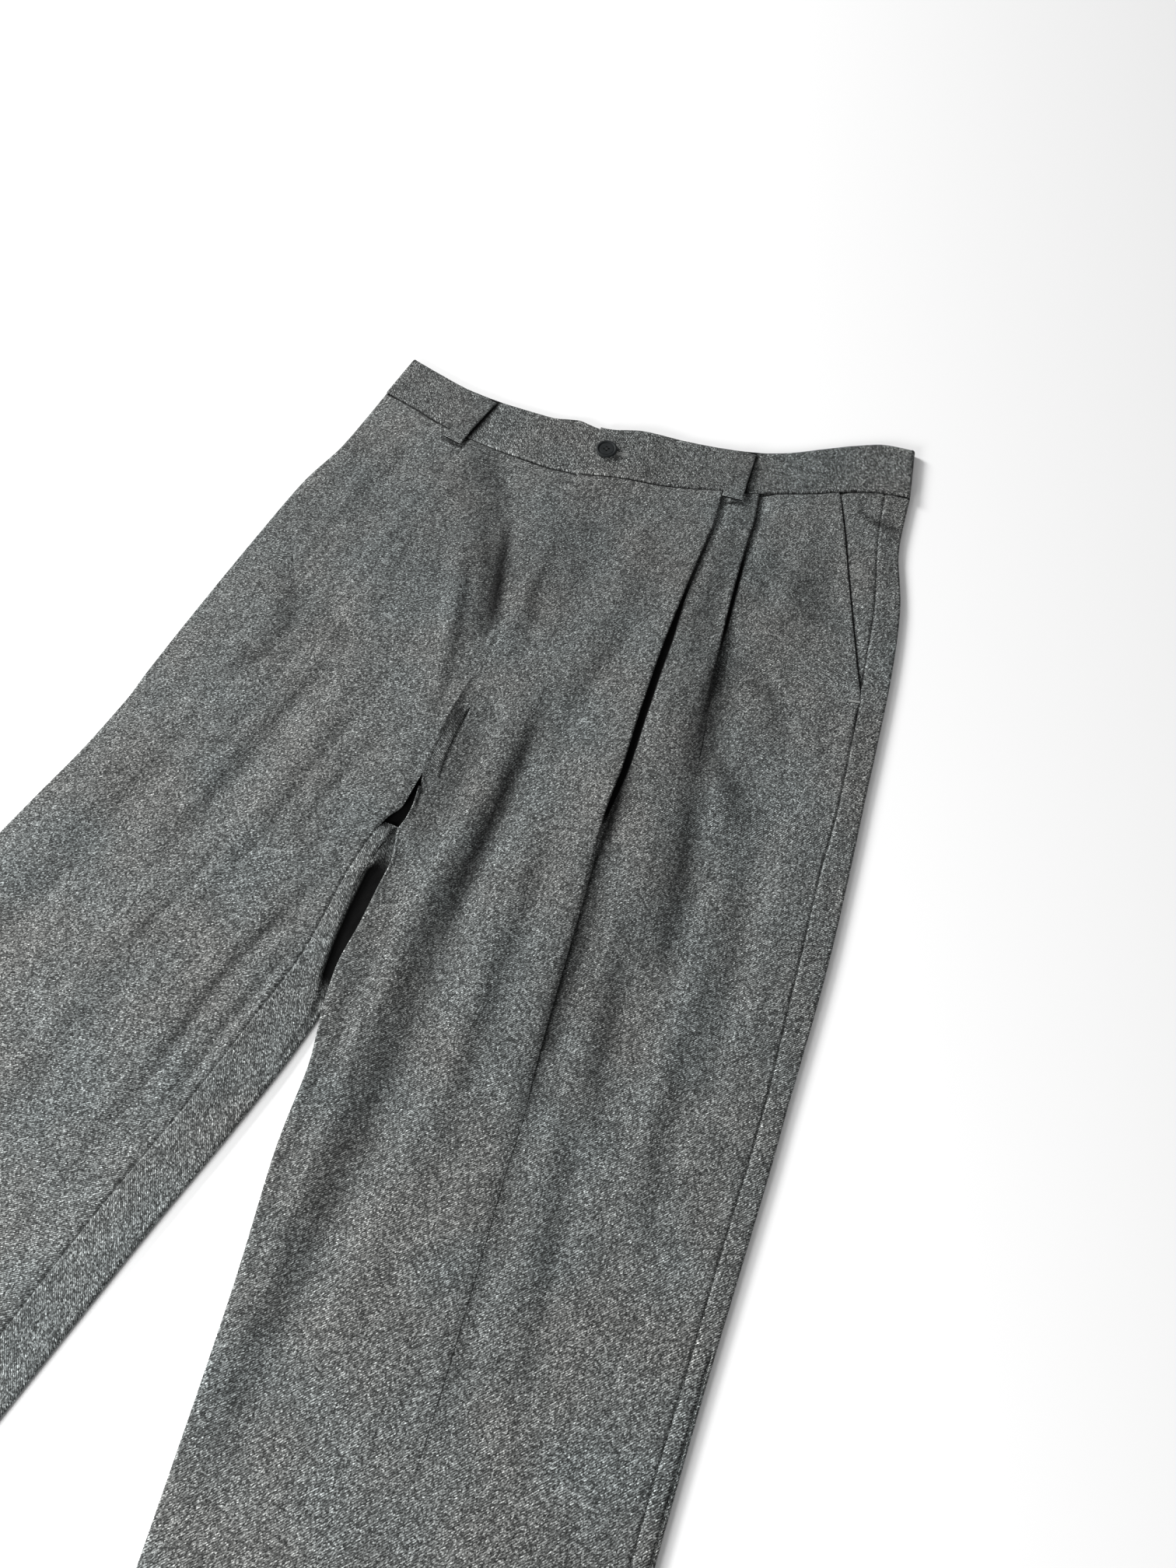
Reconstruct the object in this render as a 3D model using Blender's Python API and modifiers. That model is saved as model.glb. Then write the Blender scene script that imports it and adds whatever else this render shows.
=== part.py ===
"""Pleated dress trousers lying flat on their back.

Every cut piece is a wall of cloth: a grid of points along its middle, lofted
from section rows that run across the garment, and thickened by Solidify.
Sizes are millimetres until sheet() makes the mesh in metres.

Plan frame of the tables: x towards the wearer's left, y up towards the waist,
(0, 0) where the fly meets the waist seam, z = 0 the surface they lie on.
Heights of a wall are those of its middle.
"""
import math

import bmesh
import bpy
import numpy as np
from mathutils import Matrix

MM = 0.001
MIDDLE_X = 19.5          # middle of the outline, measured from the fly top
MIDDLE_Y = -451.0

CLOTH = 1.2              # wall of the wool twill
BAND_CLOTH = 2.0         # waistband with its stiffening
LOOP_CLOTH = 1.2
SEAM_GAP = 0.3
PLY = CLOTH + SEAM_GAP   # from one ply to the next one lying on it
FLOOR_PLY = CLOTH / 2    # height of cloth that rests on the surface
LOWEST_TOP = FLOOR_PLY + PLY
OUTER_RIM = 4.0          # upper cloth where it rounds the outer edge
FALL_WIDTH = 20.0        # how far in from an edge its own height reaches
EDGE_CALM = 9.0          # creases die out this far from the edges
WAIST_REACH = 2.5        # rows over which the curve of the waist seam fades
BAND_REACH = 1.3         # rows over which the cloth comes up to the band

WOOL = "charcoal wool twill"
LOOP_WOOL = "charcoal wool twill, loops"
HORN = "dark button"


class Table:
    """Named columns, a row for each section, joined by smooth curves."""

    def __init__(self, columns, rows):
        self.columns = columns.split()
        self.values = np.array(rows, float)
        assert self.values.shape[1] == len(self.columns)

    def column(self, name):
        return self.values[:, self.columns.index(name)]

    def at(self, position):
        """All columns at a row number that may lie between two rows."""
        rows = np.arange(len(self.values))
        return {name: monotone(rows, self.column(name), position) for name in self.columns}

    def stations(self):
        """Row numbers to loft through; 'cuts' says how many lie in each gap."""
        found = []
        for row, cuts in enumerate(self.column("cuts")[:-1]):
            found += [row + k / cuts for k in range(int(cuts))]
        return found + [len(self.values) - 1.0]


def monotone(knots, values, x):
    """Smooth curve through the values that never overshoots them."""
    knots = np.asarray(knots, float)
    values = np.asarray(values, float)
    x = min(max(float(x), knots[0]), knots[-1])
    k = min(int(np.searchsorted(knots, x, side="right")) - 1, len(knots) - 2)
    step = np.diff(knots)
    slope = np.diff(values) / step

    def tangent(i):
        if i == 0:
            return slope[0]
        if i == len(knots) - 1:
            return slope[-1]
        if slope[i - 1] * slope[i] <= 0:
            return 0.0
        return 2 * slope[i - 1] * slope[i] / (slope[i - 1] + slope[i])

    t = (x - knots[k]) / step[k]
    rise = (values[k + 1] - values[k]) * t * t * (3 - 2 * t)
    bend = step[k] * t * (1 - t) * ((1 - t) * tangent(k) - t * tangent(k + 1))
    return float(values[k] + rise + bend)


def fall(distance, width):
    """1 at distance 0, easing to 0 at the given width."""
    t = min(max(distance / width, 0.0), 1.0)
    return (1 - t) ** 2 * (1 + 2 * t)


def mix(a, b, t):
    return a + (b - a) * t


# --- waist: the seam under the band and the band's upper edge -----------------

BAND = Table("seam_x seam_y top_x top_y", [
    (-161, 11, -158, 48),
    (-136, 6, -131, 42),
    (-110, 0, -104, 37),
    (-86, -4, -80, 36),
    (-60, -5, -54, 37),
    (-30, -5, -27, 41),
    (0, -2, -2, 43),
    (27, 6, 24, 50),
    (55, 13, 53, 56),
    (85, 22, 82, 61),
    (113, 31, 108, 68),
    (131, 39, 126, 76),
    (153, 49, 147, 89),
    (175, 60, 168, 102),
    (195, 68, 187, 111),
    (216, 73, 207, 114),
])
BAND_BACK = BAND_CLOTH / 2          # heights of the band's two layers
BAND_FRONT = 4.9
TAB_RISE = BAND_CLOTH + SEAM_GAP    # the buttoned end lies on the other one
TAB_END = -2.0                      # seam_x of the buttoned end
TAB_FLAT_TO = 26.0
TAB_EASE_TO = 60.0
UNDERLAP_END = 24.0                 # seam_x of the end that lies under it
SEAT_SEAM_TOP = 56.0                # seam_x where the band's halves meet behind

# name: seam_x, and on the upper side the height of the loop's foot
FRONT_LOOPS = {"belt_loop_front_right": (-94.0, 6.9), "belt_loop_front_left": (102.5, 8.6)}
HIDDEN_LOOPS = {"belt_loop_back_right": -34.0, "belt_loop_back_centre": 56.0,
                "belt_loop_back_left": 146.0}
LOOP_WIDTH = 14.0
LOOP_DROP = 9.0                     # how far a loop ends below the waist seam
LOOP_CLEAR = 2.0                    # cloth stays up this far past a hidden loop
LOOP_BOW = 2.2                      # a loop stands off the band at its middle
LOOP_EASE = 16.0                    # cloth eases up over a hidden loop
HIDDEN_RISE = LOOP_CLOTH + SEAM_GAP


def waist_seam(x):
    return monotone(BAND.column("seam_x"), BAND.column("seam_y"), x)


def on_band(x, share):
    """Plan point of the band above seam_x = x; share 0 at the seam, 1 at the top."""
    top_x = monotone(BAND.column("seam_x"), BAND.column("top_x"), x)
    top_y = monotone(BAND.column("seam_x"), BAND.column("top_y"), x)
    return mix(x, top_x, share), mix(waist_seam(x), top_y, share)


def tab_height(x):
    """Height of the band's left front, which lies over the right one at the fly."""
    return BAND_FRONT + TAB_RISE * fall(x - TAB_FLAT_TO, TAB_EASE_TO - TAB_FLAT_TO)


def over_hidden_loops(x, below_seam):
    """Lift of the cloth that lies on the loops of the hidden side."""
    lift = 0.0
    for centre in HIDDEN_LOOPS.values():
        beside = max(abs(x - centre) - LOOP_WIDTH / 2 - LOOP_CLEAR, 0.0)
        lift = max(lift, fall(beside, LOOP_EASE))
    return HIDDEN_RISE * lift * fall(max(below_seam - LOOP_DROP - 2 * LOOP_CLEAR, 0.0), LOOP_EASE)


def loop_stops(first, last):
    """Shares of the way from first to last where hidden loops begin or end their lift."""
    reach = LOOP_WIDTH / 2 + LOOP_CLEAR
    stops = [centre + side * away for centre in HIDDEN_LOOPS.values()
             for side in (-1, 1) for away in (reach, reach + LOOP_EASE)]
    shares = [(x - first) / (last - first) for x in stops]
    return sorted(share for share in shares if 0.03 < share < 0.97) + [1.0]


# --- button ---------------------------------------------------------------------

BUTTON_AT = (9.0, 22.5)
BUTTON_WIDTH = 15.0
BUTTON_THICK = 3.0
BUTTON_DISH = 0.9         # the middle lies this far below the rim
HOLE_WIDTH = 1.5
HOLE_SPREAD = 1.9         # from the button's middle to a hole's middle


# --- legs: section rows from the waist seam to the hem -------------------------
# inner, outer: the edges of the outline.  inset: outseam on top, in from the
# outer edge.  rim: upper cloth at the inner edge.  rest: cloth rolled under
# there.  roll: 0 where the edge is a single ply, 1 where it is rolled under to
# the inseam, which lies 'under' in from the edge.  loft: upper cloth between
# the edges.  cuts: sections lofted from this row to the next.

LEFT = Table("inner_x inner_y outer_x outer_y inset rim rest roll under loft cuts", [
    (0, -2, 216, 72, 18, 6.2, 4.4, 0, 6, 4.6, 2),
    (0, -22, 220, 40, 16, 6.2, 4.4, 0, 6, 4.6, 1),
    (0, -45, 223, 24, 15, 6.2, 4.4, 0, 6, 4.6, 2),
    (0, -90, 237, -18, 17, 6.2, 4.4, 0, 6, 4.6, 2),
    (0, -140, 247, -70, 18, 6.2, 4.4, 0, 6, 4.7, 2),
    (0, -185, 253, -115, 16, 6.2, 4.4, 0, 20, 4.8, 2),
    (1, -235, 259, -165, 15, 6.4, 4.4, 0, 26, 5.0, 3),
    (3, -262, 262, -188, 16, 6.8, 4.4, 1, 21.5, 5.0, 1),
    (5, -285, 265, -213, 17, 6.8, 4.4, 1, 20.5, 5.0, 2),
    (11, -330, 271, -270, 16, 6.8, 4.4, 1, 20.5, 5.0, 3),
    (24.5, -404, 276, -350, 12, 6.4, 4.2, 1, 14, 4.9, 2),
    (31, -432, 278, -378, 12, 4.3, FLOOR_PLY, 1, 14, 4.8, 1),
    (36, -470, 280, -416, 12, 4.1, FLOOR_PLY, 1, 14, 4.7, 2),
    (52, -543, 284, -494, 11, 4.0, FLOOR_PLY, 1, 14, 4.6, 2),
    (74, -662, 293, -620, 11, 4.0, FLOOR_PLY, 1, 13, 4.4, 2),
    (98, -800, 308, -762, 11, 4.0, FLOOR_PLY, 1, 12, 4.3, 1),
    (120, -930, 325, -894, 11, 4.0, FLOOR_PLY, 1, 12, 4.2, 1),
    (135, -1016, 338, -982, 11, 4.0, FLOOR_PLY, 1, 12, 4.1, 1),
])
UNDER_RAMP = 7.0          # the rolled-under cloth starts down to the floor this far
UNDER_FOOT = 1.5          # before its seam, and is down this far before it

# tuck: outseam beneath, in from the outer edge.  rim: edge of the front piece
# under the fly.  seam: where that piece ends, in from the inner edge (under
# the fly, then the inseam on top).  roll: 0 where the back ends at the seat
# seam, 1 where it folds round the inner edge and comes up to the inseam.  lip:
# cloth just past that fold.  shelf: how far it stays as low as the lip, because
# the other thigh lies on it.
RIGHT = Table("inner_x inner_y outer_x outer_y tuck rim seam roll lip shelf loft cuts", [
    (0, -4, -161, 11, 39, 4.3, -7, 0, LOWEST_TOP, 13, 4.5, 2),
    (0, -25, -163, -15, 41, 4.3, -7, 0, LOWEST_TOP, 13, 4.5, 1),
    (0, -48, -166, -45, 43, 4.3, -7, 0, LOWEST_TOP, 13, 4.6, 2),
    (0, -90, -175, -85, 47, 4.3, -7, 0, LOWEST_TOP, 13, 4.7, 2),
    (0, -140, -180, -137, 50, 4.3, -7, 0, LOWEST_TOP, 13, 4.8, 2),
    (0, -190, -184, -190, 50, 4.3, -7, 0, LOWEST_TOP, 13, 4.8, 2),
    (0, -235, -187, -240, 48, 4.6, 1, 0, LOWEST_TOP, 13, 4.9, 2),
    (13, -262, -188, -264, 47, 4.8, 12, 0, LOWEST_TOP, 13, 5.0, 2),
    (15.5, -275, -188, -275, 46, 5.0, 21.5, 1, LOWEST_TOP, 13.5, 5.0, 1),
    (18, -288, -189, -287, 46, 5.0, 26, 1, LOWEST_TOP, 14.5, 5.0, 2),
    (24, -332, -193, -320, 43, 5.0, 28, 1, LOWEST_TOP, 14.5, 5.0, 2),
    (25, -375, -199, -352, 40, 5.0, 28, 1, LOWEST_TOP, 10.5, 5.0, 1),
    (23, -406, -203, -374, 38, 4.6, 29, 1, 2.6, 3, 4.9, 1),
    (20, -432, -207, -397, 36, 4.3, 30, 1, 3.6, 2, 4.9, 1),
    (11, -481, -213, -444, 34, 4.1, 29, 1, 4.0, 2, 4.7, 2),
    (-1, -538, -221, -500, 32, 4.0, 28, 1, 4.0, 2, 4.6, 2),
    (-22, -650, -239, -612, 30, 4.0, 25, 1, 4.0, 2, 4.4, 2),
    (-47, -785, -262, -749, 28, 4.0, 22, 1, 4.0, 2, 4.3, 1),
    (-71, -913, -283, -879, 26, 4.0, 20, 1, 4.0, 2, 4.2, 1),
    (-90, -1010, -299, -978, 24, 4.0, 20, 1, 4.0, 2, 4.1, 1),
])
SHELF_RAMP = 4.5          # beyond the shelf the cloth climbs to full height over this

SEAT_SEAM = Table("y x", [
    (-300, 15), (-262, 19), (-235, 25), (-190, 34), (-140, 42), (-90, 48),
    (-45, 52), (0, 55), (60, 57),
])

# --- pleats: reverse pleats, their fold edges towards the pocket ---------------
# at: fold edge, mm from the inner edge along the same row of LEFT or RIGHT.
# turn: degrees the cloth turns back (180 is folded flat).  lap: its length.

LEFT_PLEAT_1 = Table("at turn lap", [
    (99, 180, 13), (101, 180, 12), (102.5, 178, 11), (104, 174, 9), (106, 172, 7),
    (113, 170, 5.5), (120, 160, 4), (123, 140, 3), (124.5, 110, 2), (121.5, 70, 2),
    (119, 45, 2.5), (118, 38, 2.5), (118, 32, 2.5), (113, 26, 2.5),
    (106, 22, 2.5), (101, 20, 2.5), (99, 20, 2.5), (98, 20, 2.5)])
LEFT_PLEAT_2 = Table("at turn lap", [
    (125.5, 180, 9), (129, 178, 8), (133, 174, 7), (139.5, 168, 5), (146, 140, 4),
    (153, 90, 3), (162, 50, 3), (167, 38, 3), (172.5, 34, 3), (178, 26, 3),
    (174, 14, 3), (174, 10, 3), (173, 8, 3), (165, 6, 3),
    (157, 5, 3), (151, 5, 3), (147, 5, 3), (145, 5, 3)])
RIGHT_PLEAT_1 = Table("at turn lap", [
    (84, 30, 2.5), (85, 30, 2.5), (86, 29, 2.5), (88, 28, 2.5), (91, 26, 2.5),
    (94, 24, 2.5), (97, 22, 2.5), (111, 22, 2.5), (114.5, 22, 2.5), (118, 22, 2.5),
    (128, 22, 2.5), (132, 22, 2.5), (132, 22, 2.5), (131, 22, 2.5), (125, 22, 2.5),
    (118, 22, 2.5), (109, 20, 2.5), (104, 20, 2.5), (101, 20, 2.5), (99, 20, 2.5)])
RIGHT_PLEAT_2 = Table("at turn lap", [
    (111, 26, 2.5), (114, 25, 2.5), (117, 24, 2.5), (122, 22, 2.5), (127, 18, 2.5),
    (133, 14, 2.5), (138, 11, 2.5), (152, 8, 2.5), (156, 7, 2.5), (160, 6, 2.5),
    (168, 5, 2.5), (171, 5, 2.5), (171, 5, 2.5), (169, 5, 2.5), (162, 5, 2.5),
    (155, 5, 2.5), (148, 5, 2.5), (146, 5, 2.5), (144, 5, 2.5), (142, 5, 2.5)])
FOLD_RADIUS = PLY / 2
AHEAD_OF_PLEAT = 28.0     # the upper ply comes down to the panel over this
BEHIND_PLEAT = 14.0       # and the lower ply comes up to it over this
PLEAT_SINK = 1.1          # lower ply below the panel at the fold

# --- slanted pockets: mouth edge, mm from the fly along the rows ----------------

POCKET_MOUTH = Table("at", [(179,), (188.5,), (197.5,), (215,), (235,), (254,)])
POCKET_END = 4.5          # row number where the mouth runs into the side seam
FACING_TUCK = 14.0        # the facing goes this far in behind the mouth
FACING_SLOPE = 0.22       # and beyond it comes up level with the side seam

# --- creases and folds pressed or fallen into the cloth -------------------------
# height: + a ridge, - a trough.  width: half width.  Paths run down the cloth.

CREASES = [
    # height, width, path
    (-2.3, 11, [(50, -180), (52, -230), (55, -286), (53, -341), (50, -400), (56, -450), (64, -520)]),
    (1.5, 10, [(30, -215), (32, -260), (34, -310), (36, -370), (42, -430)]),
    (-1.6, 8, [(-20, -60), (-24, -85), (-14, -112), (-3, -140)]),
    (1.2, 8, [(-38, -70), (-32, -110), (-18, -145), (-12, -185)]),
    (-1.3, 10, [(150, -150), (158, -185), (166, -215), (170, -250)]),
    (-1.4, 9, [(158, -285), (170, -320), (176, -350), (178, -390)]),
    (-0.9, 9, [(172, -420), (184, -450), (193, -480), (200, -520)]),
    (-0.8, 7, [(168, -178), (182, -192), (198, -205)]),
    (-1.2, 7, [(192, 52), (204, 43), (218, 52)]),
    (1.0, 9, [(80, -210), (90, -290), (98, -380), (112, -470), (124, -560)]),
    (-0.9, 8, [(100, -330), (108, -400), (118, -470)]),
    (-1.0, 9, [(-24, -321), (-32, -362), (-41, -416), (-46, -466), (-60, -560)]),
    (0.9, 9, [(-60, -150), (-64, -220), (-66, -290), (-72, -370)]),
    (-0.9, 10, [(-141, -165), (-137, -194), (-125, -227)]),
    (-0.8, 11, [(-70, -190), (-92, -183), (-118, -170)]),
    (-0.9, 12, [(-150, -300), (-160, -360), (-166, -430), (-178, -520)]),
    (0.9, 10, [(-30, -520), (-48, -600), (-66, -700)]),
    (-0.9, 12, [(170, -600), (186, -690), (200, -790)]),
    (0.8, 12, [(130, -640), (140, -720), (160, -800)]),
    (-0.8, 12, [(-150, -640), (-168, -720), (-180, -800)]),
]


def crease_height(x, y):
    """Sum of the creases at a plan point; each fades at its path's ends."""
    total = 0.0
    for height, width, path in CREASES:
        best = None
        for k in range(len(path) - 1):
            (ax, ay), (bx, by) = path[k], path[k + 1]
            along_x, along_y = bx - ax, by - ay
            length2 = along_x ** 2 + along_y ** 2
            t = ((x - ax) * along_x + (y - ay) * along_y) / length2
            inside = min(max(t, 0.0), 1.0)
            away = math.hypot(x - ax - inside * along_x, y - ay - inside * along_y)
            if best is None or away < best[0]:
                best = (away, (k + inside) / (len(path) - 1))
        away, part = best
        if away < 3 * width:
            ends = math.sin(math.pi * min(max(0.04 + 0.92 * part, 0.0), 1.0)) ** 0.6
            total += height * ends * math.exp(-(away / width) ** 2)
    return total


# --- sections -------------------------------------------------------------------

class Section:
    """One row of a leg table: places on it are 'along' from the inner edge."""

    def __init__(self, table, station):
        self.table = table
        self.station = station
        self.size = table.at(station)
        dx = self.size["outer_x"] - self.size["inner_x"]
        dy = self.size["outer_y"] - self.size["inner_y"]
        self.width = math.hypot(dx, dy)
        self.across = (dx / self.width, dy / self.width)

    def plan(self, along):
        x = self.size["inner_x"] + along * self.across[0]
        y = self.size["inner_y"] + along * self.across[1]
        first = self.table.at(0)
        rise = (first["outer_y"] - first["inner_y"]) / (first["outer_x"] - first["inner_x"])
        straight = first["inner_y"] + (x - first["inner_x"]) * rise
        sag = waist_seam(x) - SEAM_GAP - straight
        return x, y + sag * fall(self.station, WAIST_REACH)

    def top(self, along):
        """Height of the upper cloth, pleats apart."""
        size = self.size
        x, y = self.plan(along)
        from_inner = max(along, 0.0)
        from_outer = max(self.width - along, 0.0)
        calm = (1 - fall(from_inner, EDGE_CALM)) * (1 - fall(from_outer, EDGE_CALM))
        height = size["loft"] + crease_height(x, y) * calm
        height += (size["rim"] - size["loft"]) * fall(from_inner, FALL_WIDTH)
        height += (OUTER_RIM - size["loft"]) * fall(from_outer, FALL_WIDTH)
        band = tab_height(x) if self.table is LEFT else BAND_FRONT
        height = mix(height, band, fall(self.station, BAND_REACH) * (1 - fall(from_outer, FALL_WIDTH)))
        return max(height, LOWEST_TOP)

    def bottom(self, along):
        """Height of the lower cloth."""
        x, y = self.plan(along)
        return FLOOR_PLY + over_hidden_loops(x, waist_seam(x) - y)

    def seat(self):
        """Where the seat seam crosses the row."""
        along = 0.0
        for _ in range(4):
            x, y = self.plan(along)
            target = monotone(SEAT_SEAM.column("y"), SEAT_SEAM.column("x"), y)
            along += (target - x) / self.across[0]
        return along

    def mouth(self):
        """Edge of the slanted pocket, or of the front piece below it."""
        seam = self.width - self.size["inset"] - SEAM_GAP / 2
        return min(POCKET_MOUTH.at(self.station)["at"], seam) if self.station <= POCKET_END else seam

    def hidden_mouth(self):
        """The same beneath the right leg, where the cloth has rounded the outer edge."""
        seam = self.width - self.size["tuck"] + SEAM_GAP / 2
        if self.station > POCKET_END:
            return seam
        return max(2 * self.width - POCKET_MOUTH.at(self.station)["at"], seam)

    def outer_roll(self):
        """(along, height) round the outer edge from the upper cloth to the lower."""
        radius = (OUTER_RIM - FLOOR_PLY) / 2
        centre = self.width - CLOTH / 2 - radius
        return half_round(centre, 1, FLOOR_PLY, OUTER_RIM, 6)[::-1]

    def place(self, profile):
        """(along, height) pairs to points; height None lies on the lower cloth."""
        points = []
        for along, height in profile:
            x, y = self.plan(along)
            points.append((x, y, self.bottom(along) if height is None else height))
        return points


def half_round(centre, side, low, high, count):
    """(along, height) up a half circle that bulges towards 'side', -1 or 1."""
    radius = (high - low) / 2
    angles = [math.pi * k / (count - 1) for k in range(count)]
    return [(centre + side * radius * math.sin(a), low + radius * (1 - math.cos(a)))
            for a in angles]


def between(first, last, count):
    """count values after 'first', evenly up to 'last'."""
    return [mix(first, last, k / count) for k in range(1, count + 1)]


def pleat(at, turn, lap, steps):
    """Start of a fold, and its (run, drop) steps: turn back, lap, turn forward."""
    angle = math.radians(turn)
    radius = FOLD_RADIUS
    points = []
    for k in range(steps + 1):
        a = angle * k / steps
        points.append((radius * math.sin(a), -radius * (1 - math.cos(a))))
    run = points[-1][0] + lap * math.cos(angle)
    drop = points[-1][1] - lap * math.sin(angle)
    for k in range(steps + 1):
        a = angle * (1 - k / steps)
        points.append((run + radius * (math.sin(angle) - math.sin(a)),
                       drop + radius * (math.cos(angle) - math.cos(a))))
    start = at - radius * math.sin(min(angle, math.pi / 2))
    return start, points


def front_profile(section, begin, end, pleats, spread, steps):
    """(along, height) over a front panel from 'begin' to 'end' through its pleats."""
    profile = []
    left = begin
    left_sink = 0.0
    for number, table in enumerate(pleats):
        fold = table.at(section.station)
        start, fold_steps = pleat(fold["at"], fold["turn"], fold["lap"], steps)
        drop = -fold_steps[-1][1]
        sink = PLEAT_SINK * min(drop / (2 * PLY), 1.0)
        count = spread[number]
        low = section.top(start) - sink
        for k in range(count):
            along = mix(left, start, k / count)
            height = section.top(along) - left_sink * fall(along - left, BEHIND_PLEAT)
            climb = fall(start - along, min(AHEAD_OF_PLEAT, start - left))
            profile.append((along, mix(height, low + drop, climb)))
        profile += [(start + run, low + drop + step) for run, step in fold_steps]
        left = start + fold_steps[-1][0]
        left_sink = sink
    for along in between(left, end, spread[-1]):
        profile.append((along, section.top(along) - left_sink * fall(along - left, BEHIND_PLEAT)))
    return profile


# --- making the objects ---------------------------------------------------------

def material(name, colour, roughness):
    made = bpy.data.materials.get(name) or bpy.data.materials.new(name)
    made.use_nodes = True
    shader = made.node_tree.nodes["Principled BSDF"]
    shader.inputs["Base Color"].default_value = (*colour, 1)
    shader.inputs["Roughness"].default_value = roughness
    shader.inputs["Metallic"].default_value = 0.0
    return made


MATERIALS = {
    WOOL: ((0.060, 0.065, 0.070), 0.95),
    LOOP_WOOL: ((0.050, 0.054, 0.058), 0.95),
    HORN: ((0.020, 0.022, 0.024), 0.45),
}


def link(item, surface):
    item.data.materials.append(material(surface, *MATERIALS[surface]))
    bpy.data.collections["pleated_dress_trousers"].objects.link(item)
    return item


def to_world(points):
    """Table millimetres to metres about the middle of the outline."""
    return (np.asarray(points, float) - (MIDDLE_X, MIDDLE_Y, 0.0)) * MM


def sheet(name, grid, wall, surface=WOOL):
    """A wall of cloth about rows of middle points; a shorter row leaves a notch."""
    points, rows = [], []
    for row in grid:
        rows.append(range(len(points), len(points) + len(row)))
        points += row
    faces = [(above[c], above[c + 1], below[c + 1], below[c])
             for above, below in zip(rows, rows[1:])
             for c in range(min(len(above), len(below)) - 1)]
    mesh = bpy.data.meshes.new(name)
    mesh.from_pydata([tuple(point) for point in to_world(points)], [], faces)
    item = link(bpy.data.objects.new(name, mesh), surface)
    shell = item.modifiers.new("cloth wall", "SOLIDIFY")
    shell.thickness = wall * MM
    shell.offset = 0.0
    shell.use_quality_normals = True
    return item


def front_left():
    """Front with two open reverse pleats; its fly edge lies on the other front."""
    grid = []
    for station in LEFT.stations():
        section = Section(LEFT, station)
        size = section.size
        begin = 0.0
        rolled_under = []
        if size["roll"] == 1:
            edge = half_round(CLOTH / 2 + (size["rim"] - size["rest"]) / 2, -1,
                              size["rest"], size["rim"], 5)[::-1]
            begin = edge[0][0]
            seam = size["under"] - SEAM_GAP / 2
            ramp = seam - UNDER_RAMP
            rolled_under = edge[1:] + [(mix(begin, ramp, 0.5), size["rest"]), (ramp, size["rest"]),
                                       (seam - UNDER_FOOT, FLOOR_PLY), (seam, FLOOR_PLY)]
        profile = front_profile(section, begin, section.mouth(), (LEFT_PLEAT_1, LEFT_PLEAT_2),
                                (8, 3, 6), 3)
        grid.append(section.place(profile[::-1] + rolled_under))
    return sheet("front_left", grid, CLOTH)


def back_left():
    """Back of the wearer's left leg; it rounds the outer edge up to the outseam."""
    stops = loop_stops(BAND.column("seam_x")[-1], SEAT_SEAM_TOP)
    grid = []
    for station in LEFT.stations():
        section = Section(LEFT, station)
        size = section.size
        seam = section.width - size["inset"] + SEAM_GAP / 2
        rounded = section.outer_roll()
        strip = [(along, section.top(along)) for along in (seam, mix(seam, rounded[0][0], 0.5))]
        inner = mix(section.seat(), size["under"], size["roll"]) + SEAM_GAP / 2
        run = [(mix(rounded[-1][0], inner, share), None) for share in stops]
        grid.append(section.place((strip + rounded + run)[::-1]))
    return sheet("back_left", grid, CLOTH)


def front_right():
    """Front of the wearer's right leg; it rounds the outer edge to the hidden pocket."""
    grid = []
    for station in RIGHT.stations():
        section = Section(RIGHT, station)
        rounded = section.outer_roll()
        profile = front_profile(section, section.size["seam"] + SEAM_GAP / 2, rounded[0][0],
                                (RIGHT_PLEAT_1, RIGHT_PLEAT_2), (7, 2, 4), 2)
        run = [(along, None) for along in between(rounded[-1][0], section.hidden_mouth(), 3)]
        grid.append(section.place((profile + rounded[1:] + run)[::-1]))
    return sheet("front_right", grid, CLOTH)


def back_right():
    """Back of the wearer's right leg; it rounds the inner edge up to the inseam."""
    stops = loop_stops(BAND.column("seam_x")[0] + RIGHT.column("tuck")[0], SEAT_SEAM_TOP)
    grid = []
    for station in RIGHT.stations():
        section = Section(RIGHT, station)
        size = section.size
        start = section.width - size["tuck"] - SEAM_GAP / 2
        inner = section.seat() + SEAM_GAP / 2
        rolled_over = []
        if size["roll"] == 1:
            inner = CLOTH / 2 + (size["lip"] - FLOOR_PLY) / 2
            seam = size["seam"] - SEAM_GAP / 2
            shelf = max(size["shelf"], inner + 0.5)
            crest = shelf + SHELF_RAMP
            full = section.top(crest)
            rolled_over = half_round(inner, -1, FLOOR_PLY, size["lip"], 5)[1:]
            rolled_over += [(shelf, size["lip"]), (mix(shelf, crest, 0.5), mix(size["lip"], full, 0.5)),
                            (crest, full), (seam, section.top(seam))]
        run = [(mix(start, inner, share), None) for share in [0.0] + stops]
        grid.append(section.place(run + rolled_over))
    return sheet("back_right", grid, CLOTH)


def pocket_facing_left():
    """Cloth behind the slanted mouth, from under the front to the side seam."""
    grid = []
    for station in [s for s in LEFT.stations() if s <= POCKET_END]:
        section = Section(LEFT, station)
        mouth = section.mouth()
        behind = section.top(mouth) - PLY
        seam = section.width - section.size["inset"] - SEAM_GAP / 2
        places = [mouth - FACING_TUCK] + between(mouth - FACING_TUCK, mouth, 2)
        places += between(mouth, seam, 4) if seam > mouth else [mouth] * 4
        profile = [(along, min(behind + FACING_SLOPE * max(along - mouth, 0.0),
                               max(section.top(along), behind))) for along in places]
        grid.append(section.place(profile))
    return sheet("pocket_facing_left", grid, CLOTH)


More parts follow.
